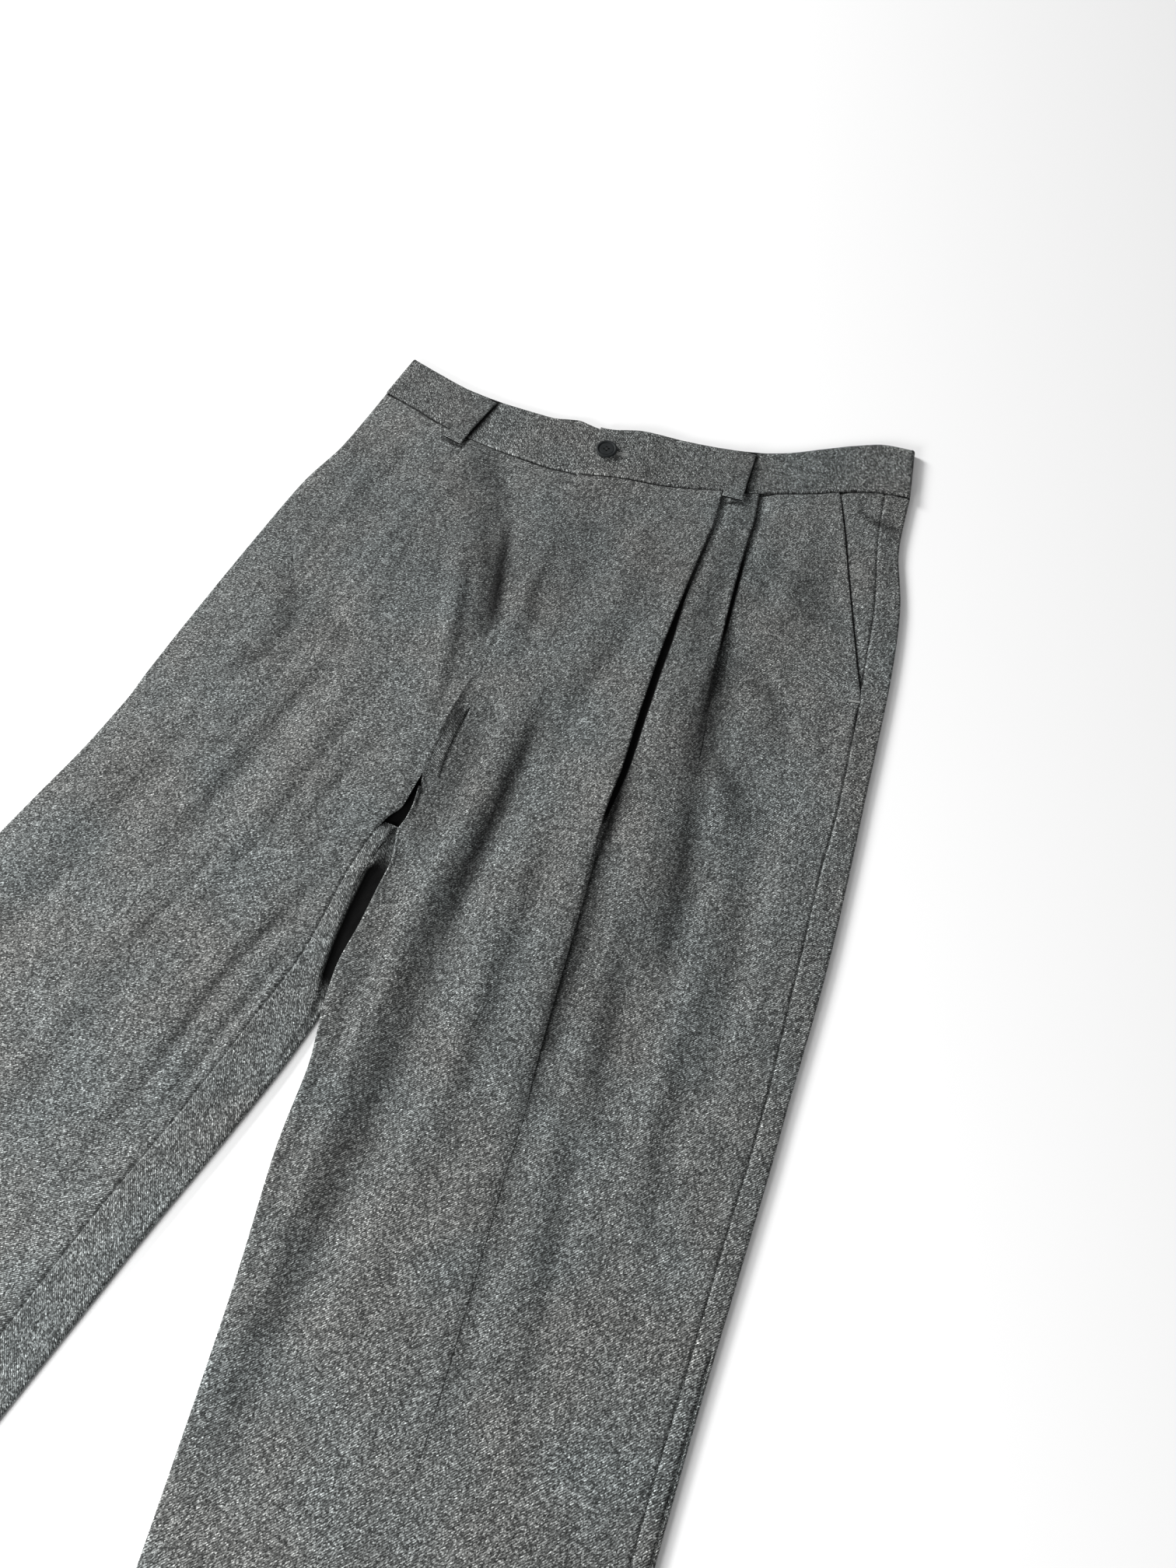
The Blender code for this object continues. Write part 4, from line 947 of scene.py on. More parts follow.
RIGHT_PLEAT_1 = shut_pleat([
    (84, 30), (85, 24), (86, 18), (88, 14), (91, 12), (94, 12), (97, 12), (111, 12),
    (114.5, 12), (118, 12), (128, 12), (132, 12), (132, 14), (131, 16), (125, 18), (118, 20),
    (109, 20), (104, 20), (101, 20), (99, 20)])
RIGHT_PLEAT_2 = shut_pleat([
    (111, 26), (114, 18), (117, 13), (122, 10), (127, 8), (133, 7), (138, 6), (152, 6),
    (156, 6), (160, 6), (168, 5), (171, 5), (171, 5), (169, 5), (162, 5), (155, 5),
    (148, 5), (146, 5), (144, 5), (142, 5)])

RIGHT_LEG = Leg(RIGHT, -1)


def hidden_mouth(leg):
    """Edge of the right pocket, beneath, where the cloth has rounded the outer edge."""
    seam = leg.width - leg.size["tuck"]
    mouth = 2 * leg.width - POCKET_MOUTH.at(leg.station)["at"]
    return mix(seam, np.maximum(mouth, seam), leg.in_pocket)


def right_front():
    leg = RIGHT_LEG
    sewn = sewn_edge(leg, leg.size["seam"], 1, SEAM_SHADE)[::-1]
    flat_edge = [(along, leg.top(along), 0.0) for along, _, _ in sewn]
    edge = rolled_or_turned(leg, flat_edge, sewn)
    round_edge = [(along, height, 0.0) for along, height in leg.outer_roll()]
    panel = front_columns(leg, edge[-1][0], round_edge[0][0],
                          (RIGHT_PLEAT_1, RIGHT_PLEAT_2), (30, 8, 24))
    run = lying_flat(leg, round_edge[-1][0], hidden_mouth(leg), 8)
    grid, shade = leg.columns(edge[:-1] + panel + round_edge[1:] + run)
    cut = cut_place(grid, 0, -1, RIGHT_GRAIN)
    grid, shade, cut = turn_up_hem(grid, shade, cut, -1)
    return cloth("front_right", grid, shade, cut, -1, PANEL_WOOL)


right_front()


# --- right back -------------------------------------------------------------------
# The seat and leg behind the wearer's right leg. It lies flat underneath from the hidden
# outseam, folds round the inner edge of the leg and is sewn to the front along the inseam,
# whose pressed allowances stand up as two narrow ridges beside the gap between the thighs.

HOLE_AT = (6.0, -277.0)   # middle of the hole beside the crotch, above this cloth
HOLE_REACH = 22.0         # how far across from it shade is painted on this cloth
HOLE_SHAPE = 0.55         # its width, as a share of its length down the leg
LIP_END_DIP = 2.6         # the upper strip turns down into the hole,
LIP_END_RUN = 6.0         # over this
SHELF_DARK_FROM = 0.3     # share of the ramp at which the painted shade starts to fade
SHELF_DARK_OVER = 0.5


def right_back():
    leg = RIGHT_LEG
    size = leg.size
    start = leg.width - size["tuck"]
    lip_centre = WALL / 2 + (size["lip"] - ON_FLOOR) / 2
    inner = np.where(leg.rolled, lip_centre, seat_seam(leg))
    under = [(start, underside(leg, start), 0.0)]
    under += lying_flat(leg, start, inner, UNDERSIDE_COLUMNS)
    # shade painted on the cloth that shows through the hole
    run = []
    for along, height, _ in under:
        x, y = leg.plan(along)
        away = np.hypot(x - HOLE_AT[0], HOLE_SHAPE * (y - HOLE_AT[1]))
        run.append((along, height, np.clip(2 * fall(away, HOLE_REACH), 0, 1)))
    gap = {name: THIGH_GAP.by("y", name, size["inner_y"]) for name in ("shelf", "ramp", "dark")}
    shelf = np.maximum(gap["shelf"], lip_centre + 0.5)
    crest = shelf + gap["ramp"]
    first = int(np.argmax(leg.rolled))
    below_hole = np.maximum(size["inner_y"][first] - size["inner_y"], 0.0)
    dip = LIP_END_DIP * fall(below_hole, LIP_END_RUN)
    over = [(along, height, gap["dark"])
            for along, height in half_round(lip_centre, -1, ON_FLOOR, size["lip"], 6)[1:]]
    over += [(mix(lip_centre, shelf, t), size["lip"], gap["dark"]) for t in (0.3, 0.6, 0.8, 0.95)]
    for t in (0.0, 0.15, 0.3, 0.45, 0.6, 0.8, 1.0):
        along = mix(shelf, crest, t)
        top = np.maximum(leg.top(along) - dip, size["lip"])
        dark = gap["dark"] * fall(max(t - SHELF_DARK_FROM, 0), SHELF_DARK_OVER)
        over.append((along, mix(size["lip"], top, 1 - fall(t, 1.0)), dark))
    sewn = [(along, height - dip, shade)
            for along, height, shade in sewn_edge(leg, size["seam"], -1, SEAM_SHADE)]
    for t in (0.3, 0.6):
        along = mix(crest, sewn[0][0], t)
        over.append((along, leg.top(along) - dip, leg.crease_dark(along)))
    grid, shade = leg.columns(run + over + sewn)
    keep = np.ones((len(grid) - 1, grid.shape[1] - 1), bool)
    keep[:first, len(run) - 1:] = False
    cut = cut_place(grid[:, ::-1], 0, -1, RIGHT_GRAIN)[:, ::-1]
    grid, shade, cut = turn_up_hem(grid, shade, cut, -1)
    keep = np.concatenate([keep, np.ones((len(grid) - 1 - len(keep), keep.shape[1]), bool)])
    return cloth("back_right", grid, shade, cut, -1, PANEL_WOOL, keep)


right_back()


# --- pocket facings ---------------------------------------------------------------
# Facings of the same twill close each slanted pocket behind its mouth. The left one shows
# as a wedge between the mouth and the side seam; the right one lies underneath.

FACING_TUCK = 14.0        # the facing goes this far in behind the mouth
FACING_SLOPE = 0.22       # and beyond it comes up level with the side seam
MOUTH_SHUT_TO = 0.2       # row number to which the mouth lies shut under the band,
MOUTH_OPENS = 0.25        # and rows over which it opens below that
FACING_GAPING_SHADE = 0.9    # its seam's painted shade where that gapes, below the mouth
FACING_SHADE = 0.15       # the wedge lies lower than the front and has shade painted all over it,
SLIT_SHADE = 0.97         # and the most painted shade in the slit behind the mouth,
SLIT_OPEN = 0.6           # this far past it where it is open,
SLIT_FADES = (0.5, 1.5)   # with this much fading where it is shut and where it is open


def facing_rows(leg):
    """How many rows a facing has, down to just past the pocket's end."""
    return int(np.searchsorted(leg.station[:, 0], POCKET_END + 0.2))


def left_facing():
    leg = LEFT_LEG
    mouth, seam = leg.mouth(), leg.width - leg.size["inset"]
    behind = leg.top(mouth) - PLY
    seam_shade = mix(FACING_SHADE, FACING_GAPING_SHADE, below_mouth(leg))
    sewn = sewn_edge(leg, np.maximum(seam, mouth + 0.5), -1, seam_shade)
    places = [mouth + past for past in (-FACING_TUCK, -9, -5, -2, -0.5, 0.3, 0.9, 1.5, 2.2)]
    last = np.maximum(sewn[0][0], mouth + 2.4)
    places += [mix(mouth + 2.2, last, t) for t in (0.15, 0.3, 0.45, 0.6, 0.75, 0.9)]
    open_here = 1 - fall(leg.station - MOUTH_SHUT_TO, MOUTH_OPENS)

    # shade painted in the slit behind the mouth, and never less than over the rest of the wedge
    def in_slit(along):
        past_slit = np.maximum(along - mouth - SLIT_OPEN * open_here, 0.0)
        slit = SLIT_SHADE * fall(past_slit, mix(*SLIT_FADES, open_here))
        return np.maximum(np.maximum(slit, FACING_SHADE), leg.crease_dark(along))

    columns = []
    for along in places:
        past = np.maximum(along - mouth, 0.0)
        top = leg.top(along)
        roof = np.where(past > 0, np.maximum(top, behind), np.minimum(behind, top - PLY))
        height = np.maximum(np.minimum(behind + FACING_SLOPE * past, roof), 3 * ON_FLOOR)
        columns.append((along, height, in_slit(along)))
    for along, height, shade in sewn:
        height = np.minimum(behind + FACING_SLOPE * np.maximum(along - mouth, 0.0), height)
        along = np.maximum(along, mouth + 0.2)
        columns.append((along, height, np.maximum(shade, in_slit(along))))
    grid, shade = leg.columns(columns)
    used = facing_rows(leg)
    grid, shade = grid[:used], shade[:used]
    cut = cut_place(grid, 0, 1, LEFT_GRAIN)
    return cloth("pocket_facing_left", grid, shade, cut, 1, FACING_WOOL)


def right_facing():
    leg = RIGHT_LEG
    mouth, seam = hidden_mouth(leg), leg.width - leg.size["tuck"]
    last = np.minimum(seam, mouth - 0.3)
    places = [mouth + tuck for tuck in (FACING_TUCK, 7, 2, 0)]
    places += [mix(mouth, last, t) for t in (0.2, 0.4, 0.6, 0.8, 1.0)]
    columns = []
    for along in places:
        above = np.maximum(PLY - FACING_SLOPE * np.maximum(mouth - along, 0.0), 0.0)
        columns.append((along, underside(leg, along) + above, 0.0))
    grid, shade = leg.columns(columns)
    used = facing_rows(leg)
    grid, shade = grid[:used], shade[:used]
    cut = cut_place(grid[:, ::-1], 0, -1, RIGHT_GRAIN)[:, ::-1]
    return cloth("pocket_facing_right", grid, shade, cut, -1, FACING_WOOL)


left_facing()
right_facing()


# --- waistband --------------------------------------------------------------------
# A strip of the twill folded over its stiffening, in two halves that meet at the seat and
# are sewn on along the lower edge. The cloth runs lengthwise in it. The left end is the
# buttoned tab, the right end the underlap beneath.

BAND_DEPTH = 40.0
BAND_WALL = 2.0
BAND_BACK = BAND_WALL / 2
TAB_END = -2.0
UNDERLAP_END = 24.0
BAND_NEAR_EDGE = (0.0, 0.004, 0.012, 0.022, 0.035, 0.055, 0.09)   # shares of its depth
LEFT_HALF_IN_CUT = 300.0  # where the left half starts in the cloth
TOP_ROLL = 0.5            # the upper edge rounds back by this much,
TOP_ROLL_SHARE = 0.12     # over this share of the depth
BAND_WOOL = wool_twill("charcoal wool twill, band", tone=0.072, fleck=3.3, wale=1.5)

# the loops that show: seam_x of the middle, and height of the foot
FRONT_LOOPS = {"belt_loop_front_right": (-94.0, 6.9), "belt_loop_front_left": (103.3, 8.6)}
LOOP_SHADE = 0.96         # shadow painted on the band beneath them,
LOOP_SHADE_TO = 9.2       # from the middle this far towards the wearer's left,
LOOP_SHADE_NARROWS = 1.5  # and so much less at the band's upper edge
LOOP_SHADE_FADE = 0.5

# a highlight painted along the band's lower fold on both sides of the button
BAND_GLEAM = 0.5
GLEAM_AT = -12.0          # seam_x of the middle
GLEAM_HALF = 50.0
GLEAM_FADE = 36.0
GLEAM_SHARE = 0.012       # of the band's depth
GLEAM_SHARE_FADE = 0.05

# soft dents and swells along the band: height, width, seam_x, share of the depth
BAND_DENTS = [
    (-0.5, 12, -140, 0.4), (0.35, 14, -112, 0.7), (-0.45, 10, -62, 0.45), (0.4, 12, -40, 0.3),
    (-0.4, 8, -26, 0.8), (0.3, 10, 40, 0.35), (-0.35, 13, 66, 0.7), (-0.5, 9, 122, 0.45),
    (0.4, 12, 150, 0.6), (-0.4, 14, 186, 0.35)]


def on_band(x, share):
    """Plan point of the band above seam_x = x; share 0 at the seam, 1 at the top."""
    return (mix(x, BAND.by("seam_x", "top_x", x), share),
            mix(waist_seam(x), BAND.by("seam_x", "top_y", x), share))


def thick_strip(name, grid, wall, cut, finish, shade=0.0):
    """A thick strip about a grid of middle points, with rounded edges all round."""
    rows, columns = grid.shape[:2]

    def to_border(axis):
        step = np.linalg.norm(np.diff(grid, axis=axis), axis=-1)
        first = np.zeros_like(np.take(step, [0], axis))
        run = np.cumsum(np.concatenate([first, step], axis), axis)
        return np.minimum(run, np.take(run, [-1], axis) - run)

    border = np.minimum(to_border(0), to_border(1))
    radius = wall / 2
    half = radius * np.sqrt(1 - (1 - np.clip(border / radius, 0, 1)) ** 2)
    out = face_up(grid, 1) * half[..., None]
    points = np.concatenate([(grid + out).reshape(-1, 3), (grid - out).reshape(-1, 3)])
    index = np.arange(rows * columns).reshape(rows, columns)
    faces = np.stack([index[:-1, :-1], index[1:, :-1], index[1:, 1:], index[:-1, 1:]], -1)
    faces = faces.reshape(-1, 4)
    faces = np.concatenate([faces, faces[:, ::-1] + index.size])
    both_cuts = np.concatenate([cut.reshape(-1, 2)] * 2)
    shade = np.tile(np.broadcast_to(shade, (rows, columns)).ravel(), 2)
    mesh = cloth_mesh(name + "_cloth", points, faces, both_cuts, shade)
    edit = bmesh.new()
    edit.from_mesh(mesh)
    bmesh.ops.remove_doubles(edit, verts=edit.verts, dist=0.004 * MM)
    edit.to_mesh(mesh)
    edit.free()
    piece = bpy.data.objects.new(name + "_cloth", mesh)
    bpy.context.scene.collection.objects.link(piece)
    mesh.materials.append(finish)
    flat, area = flat_cut(cut, np.ones((rows - 1, columns - 1), bool), grid)
    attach(piece, "root")
    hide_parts(name)
    return piece


def beside_front_loops(x, share):
    """Shadow painted on the band by a front loop: beneath it and just past its edge."""
    dark = 0.0
    for centre, _ in FRONT_LOOPS.values():
        past = x - centre
        reach = LOOP_SHADE_TO - LOOP_SHADE_NARROWS * share
        dark = np.maximum(dark, LOOP_SHADE * fall(past - reach, LOOP_SHADE_FADE) * (past > 0))
    return dark


def waistband(name, front_end, edge, height):
    """Half the band: its front, round the fold at the outer edge, and its back."""
    side = 1 if edge > 0 else -1
    radius = (BAND_FRONT - BAND_BACK) / 2
    centre = edge - side * (BAND_WALL / 2 + radius)
    near = [front_end + side * away for away in (0.0, 0.1, 0.3, 0.6, 1.0, 1.6)]
    front = near + np.linspace(near[-1], centre, 84)[1:].tolist()
    bend = half_round(centre, side, BAND_BACK, BAND_FRONT, 12)[::-1][1:]
    back = np.linspace(centre, SEAT_SEAM_TOP, 40)[1:].tolist()
    back = back[:-1] + [mix(back[-2], SEAT_SEAM_TOP, t) for t in (0.5, 0.8, 0.9, 0.96, 1.0)]
    x = np.array(front + [place for place, _ in bend] + back)
    z = np.array([height(place) for place in front] + [z for _, z in bend]
                 + [BAND_BACK + over_hidden_loops(place, 0.0) for place in back])
    on_front = np.array([1.0] * len(front) + [0.0] * (len(x) - len(front)))
    middle = np.linspace(BAND_NEAR_EDGE[-1], 1 - BAND_NEAR_EDGE[-1], 18)[1:-1].tolist()
    shares = list(BAND_NEAR_EDGE) + middle + [1 - share for share in BAND_NEAR_EDGE[::-1]]
    grid, shade = [], []
    # painted highlight along the band's lower fold, and painted shadow of the front loops
    gleam_here = BAND_GLEAM * fall(np.abs(x - GLEAM_AT) - GLEAM_HALF, GLEAM_FADE)
    for share in shares:
        gleam = gleam_here * fall(share - GLEAM_SHARE, GLEAM_SHARE_FADE)
        shade.append((beside_front_loops(x, share) - gleam) * on_front)
        plan_x, plan_y = on_band(x, share)
        swell = -TOP_ROLL * fall(1 - share, TOP_ROLL_SHARE)
        for rise, width, at, level in BAND_DENTS:
            aside, above = (x - at) / width, (share - level) * BAND_DEPTH / width
            swell = swell + rise * np.exp(-aside ** 2 - above ** 2)
        grid.append(np.stack([plan_x, plan_y, z + swell * on_front], -1))
    grid, shade = np.stack(grid), np.stack(shade)
    if side < 0:
        grid, shade = grid[:, ::-1], shade[:, ::-1]
    grid, shade = grid[::-1], shade[::-1]
    steps = np.linalg.norm(np.diff(grid[len(grid) // 2], axis=0), axis=-1)
    length = np.cumsum(np.hstack([[0.0], steps])) + (LEFT_HALF_IN_CUT if side > 0 else 0.0)
    depth = np.array(shares[::-1]) * BAND_DEPTH
    cut = np.stack(np.broadcast_arrays(-depth[:, None], length[None, :]), -1)
    return thick_strip(name, grid, BAND_WALL, cut, BAND_WOOL, shade=shade)


waistband("waistband_right", UNDERLAP_END, BAND.column("seam_x")[0],
          lambda x: BAND_FRONT)
waistband("waistband_left", TAB_END, BAND.column("seam_x")[-1],
          lambda x: float(tab_height(x)))


# --- belt loops -------------------------------------------------------------------
# Narrow strips of the twill folded in three, tacked under the waist seam and at the upper
# edge of the band. The two in front bow off the band; the three behind are pressed flat.

LOOP_WALL = 1.2
LOOP_BOW = 0.6
LOOP_TILT = 0.4           # the edge towards the wearer's left stands off the band
LOOP_ROUND = 0.25         # and the middle stands higher than both edges,
LOOP_RAMP = 5             # except over a fifth of the length at either end
LOOP_SHORT = 2.8          # its top edge stays under that of the band
LOOP_FOOT_EDGE = 0.35     # the very edge of the foot has shade painted on it,
LOOP_FOOT_DARK = 0.95
LOOP_FOOT_GLEAM = 0.9     # and its turned end has a painted highlight
LOOP_GLEAM_AT = 1.8       # this far up from the edge,
LOOP_GLEAM_WIDTH = 2.2    # and so far to either side
# a darker copy of the twill, with shade painted into its tone for the loops that stand off the band;
# the hidden loops use it too
LOOP_WOOL = wool_twill("charcoal wool twill, loops", tone=0.066, fleck=2.9, wale=1.4)


def across_band(x):
    """Foot of the band at seam_x = x, its depth there, and its ways up and aside."""
    seam, top = (np.array(on_band(np.array(x), share)) for share in (0.0, 1.0))
    depth = float(np.linalg.norm(top - seam))
    up = (top - seam) / depth
    return seam, depth, up, np.array((up[1], -up[0]))


def belt_loop(name, x, low, high, bow):
    """A strip from below the waist seam to the band's upper edge; without bow it lies flat."""
    seam, depth, up, aside = across_band(x)
    length = depth + LOOP_DROP - LOOP_SHORT * bool(bow)
    foot = seam - up * LOOP_DROP
    ends = (0.0, 0.1, 0.3, 0.6)
    runs = [*ends, *np.linspace(1.2, length - 1.2, 22), *(length - end for end in ends[::-1])]
    half = LOOP_WIDTH / 2
    inward = (0.0, 0.1, 0.3, 0.6, 1.4, 3.0, 5.0)
    sides = np.array([*(-half + far for far in inward), 0.0, *(half - far for far in inward[::-1])])
    raised = LOOP_TILT * (sides / half) + LOOP_ROUND * (1 - (sides / half) ** 2)
    from_foot = np.array(runs[::-1])
    grid = np.empty((len(runs), len(sides), 3))
    for k, run in enumerate(from_foot):
        share = run / length
        grid[k, :, :2] = foot + up * run + aside * sides[:, None]
        grid[k, :, 2] = mix(low, high, share)
        if bow:
            rise = min(share * LOOP_RAMP, 1.0, (1 - share) * LOOP_RAMP)
            grid[k, :, 2] += bow * math.sin(math.pi * share) + raised * rise
    cut = np.stack(np.broadcast_arrays(sides[None, :], from_foot[:, None]), -1)
    # painted shade along the foot's very edge, and a painted highlight on its turned end, on the
    # front loops only
    gleam = LOOP_FOOT_GLEAM * fall(np.abs(from_foot - LOOP_GLEAM_AT), LOOP_GLEAM_WIDTH)
    shade = np.where(from_foot < LOOP_FOOT_EDGE, LOOP_FOOT_DARK, -gleam) * bool(bow)
    return thick_strip(name, grid, LOOP_WALL, cut, LOOP_WOOL,
                       shade[:, None])


for name, (x, low) in FRONT_LOOPS.items():
    belt_loop(name, x, low, BAND_FRONT + BAND_WALL / 2 + LOOP_WALL / 2, LOOP_BOW)
for name, x in HIDDEN_LOOPS.items():
    belt_loop(name, x, LOOP_WALL / 2, LOOP_WALL / 2, 0.0)


# --- button -----------------------------------------------------------------------
# A turned four-hole button of dark horn, sewn through to the tab with black thread. The
# end of the buttonhole, worked in grey thread, shows beside it.

BUTTON_AT = (9.0, 22.5)
BUTTON_CLEAR = 0.15       # its back stands off the tab
BUTTON_SEAT = BAND_FRONT + TAB_RISE + BAND_WALL / 2 + BUTTON_CLEAR
BUTTON_MIDDLE = 2.3       # height of the dished middle
BUTTON_PROFILE = [        # out from the middle, up from the back
    (0.0, BUTTON_MIDDLE), (1.5, BUTTON_MIDDLE), (3.6, 2.34), (4.7, 2.4), (5.0, 2.36),
    (5.2, 2.1), (5.4, 2.1), (5.6, 2.5), (5.85, 2.8), (6.25, 2.92), (6.7, 2.88), (7.1, 2.72),
    (7.38, 2.4), (7.5, 1.95), (7.42, 1.5), (7.1, 1.1), (6.3, 0.6), (5.0, 0.2), (4.0, 0.0),
    (0.0, 0.0)]
BUTTON_SIDES = 96
HOLE_WIDTH = 1.45
HOLE_SPREAD = 1.6         # from the middle to a hole's middle
HOLE_TURN = 20.0          # degrees, how the four holes stand on the tab
DRILL_LENGTH = 6.0
DRILL_MIDDLE = 1.5        # up from the button's back


def evaluated_mesh(item):
    """A plain mesh of an object with its modifiers done."""
    seen = item.evaluated_get(bpy.context.evaluated_depsgraph_get())
    return bpy.data.meshes.new_from_object(seen)


def dark_horn():
    """Dark horn: faint streaks, and a gloss worn uneven along them."""
    made = bpy.data.materials.new("dark horn")
    made.use_nodes = True
    nodes, links = made.node_tree.nodes, made.node_tree.links
    shader = nodes["Principled BSDF"]
    shader.inputs["Specular IOR Level"].default_value = 0.22
    place = nodes.new("ShaderNodeTexCoord")
    streaks = nodes.new("ShaderNodeMapping")
    streaks.inputs["Rotation"].default_value = (0, 0, 0.6)
    streaks.inputs["Scale"].default_value = (260, 900, 260)
    marble = nodes.new("ShaderNodeTexNoise")
    marble.inputs["Scale"].default_value = 1.0
    marble.inputs["Detail"].default_value = 4.0
    tone = nodes.new("ShaderNodeValToRGB")
    tone.color_ramp.elements[0].position = 0.35
    tone.color_ramp.elements[0].color = (0.0075, 0.0095, 0.010, 1)
    tone.color_ramp.elements[1].position = 0.7
    tone.color_ramp.elements[1].color = (0.0135, 0.016, 0.017, 1)
    wear = nodes.new("ShaderNodeMapRange")
    wear.inputs["To Min"].default_value = 0.55
    wear.inputs["To Max"].default_value = 0.72
    scratches = nodes.new("ShaderNodeBump")
    scratches.inputs["Strength"].default_value = 0.4
    scratches.inputs["Distance"].default_value = 0.00003
    links.new(place.outputs["Object"], streaks.inputs["Vector"])
    links.new(streaks.outputs[0], marble.inputs["Vector"])
    links.new(marble.outputs[0], tone.inputs[0])
    links.new(tone.outputs[0], shader.inputs["Base Color"])
    links.new(marble.outputs[0], wear.inputs["Value"])
    links.new(wear.outputs[0], shader.inputs["Roughness"])
    links.new(marble.outputs[0], scratches.inputs["Height"])
    links.new(scratches.outputs[0], shader.inputs["Normal"])
    return made


def button():
    """A blank turned from its profile, with the four thread holes drilled through."""
    middle = in_metres((*BUTTON_AT, BUTTON_SEAT))
    mesh = bpy.data.meshes.new("button_profile")
    mesh.from_pydata([(r * MM, 0.0, z * MM) for r, z in BUTTON_PROFILE],
                     [(k, k + 1) for k in range(len(BUTTON_PROFILE) - 1)], [])
    blank = bpy.data.objects.new("button_blank", mesh)
    bpy.context.scene.collection.objects.link(blank)
    turned = blank.modifiers.new("turned", "SCREW")
    turned.steps = turned.render_steps = BUTTON_SIDES
    turned.use_merge_vertices = True
    turned.merge_threshold = 0.00001
    drills = bmesh.new()
    radius, spread = HOLE_WIDTH * MM / 2, HOLE_SPREAD * MM
    for k in range(4):
        angle = math.radians(HOLE_TURN + 90 * k)
        at = Matrix.Translation((spread * math.cos(angle), spread * math.sin(angle),
                                 DRILL_MIDDLE * MM))
        bmesh.ops.create_cone(drills, cap_ends=True, segments=24, radius1=radius, radius2=radius,
                              depth=DRILL_LENGTH * MM, matrix=at)
    drill_mesh = bpy.data.meshes.new("button_drills")
    drills.to_mesh(drill_mesh)
    drills.free()
    drill = bpy.data.objects.new("button_drills", drill_mesh)
    bpy.context.scene.collection.objects.link(drill)
    drilled = blank.modifiers.new("thread holes", "BOOLEAN")
    drilled.operation = "DIFFERENCE"
    drilled.solver = "EXACT"
    drilled.object = drill
    finished = evaluated_mesh(blank)
    for item in (blank, drill):
        bpy.data.objects.remove(item, do_unlink=True)
    finished.transform(Matrix.Translation(middle))
    edit = bmesh.new()
    edit.from_mesh(finished)
    bmesh.ops.recalc_face_normals(edit, faces=edit.faces)
    edit.to_mesh(finished)
    edit.free()
    finished.shade_smooth()
    finished.set_sharp_from_angle(angle=math.radians(35))
    finished.name = "button_horn"
    finished.materials.clear()
    finished.materials.append(dark_horn())
    piece = bpy.data.objects.new("button_horn", finished)
    bpy.context.scene.collection.objects.link(piece)
    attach(piece, "root")
    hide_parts("button")
    return piece


button()


# --- thread -----------------------------------------------------------------------
# Hand and machine stitches of polyester thread: the buttonhole's bead, the bar that closes
# the pocket's end, the tacks that hold the front loops, and what sews the button on.

THREAD_GREY = ((0.15, 0.155, 0.15), (0.38, 0.39, 0.38))
THREAD_BLACK = ((0.006, 0.0065, 0.007), (0.016, 0.017, 0.018))
THREAD_LIFT = 0.12        # a stitch's middle above the cloth


def thread(name, tones):
    """Twisted thread: a fine slanting ply over a slightly uneven dye."""
    made = bpy.data.materials.new(name)
    made.use_nodes = True
    nodes, links = made.node_tree.nodes, made.node_tree.links
    shader = nodes["Principled BSDF"]
    shader.inputs["Roughness"].default_value = 0.7
    place = nodes.new("ShaderNodeTexCoord")
    ply = nodes.new("ShaderNodeTexWave")
    ply.inputs["Scale"].default_value = 900.0
    ply.inputs["Distortion"].default_value = 3.0
    tone = nodes.new("ShaderNodeValToRGB")
    for element, colour in zip(tone.color_ramp.elements, tones):
        element.color = (*colour, 1)
    ridge = nodes.new("ShaderNodeBump")
    ridge.inputs["Distance"].default_value = 0.00003
    links.new(place.outputs["Object"], ply.inputs["Vector"])
    links.new(ply.outputs["Fac"], tone.inputs[0])
    links.new(tone.outputs[0], shader.inputs["Base Color"])
    links.new(ply.outputs["Fac"], ridge.inputs["Height"])
    links.new(ridge.outputs[0], shader.inputs["Normal"])
    return made


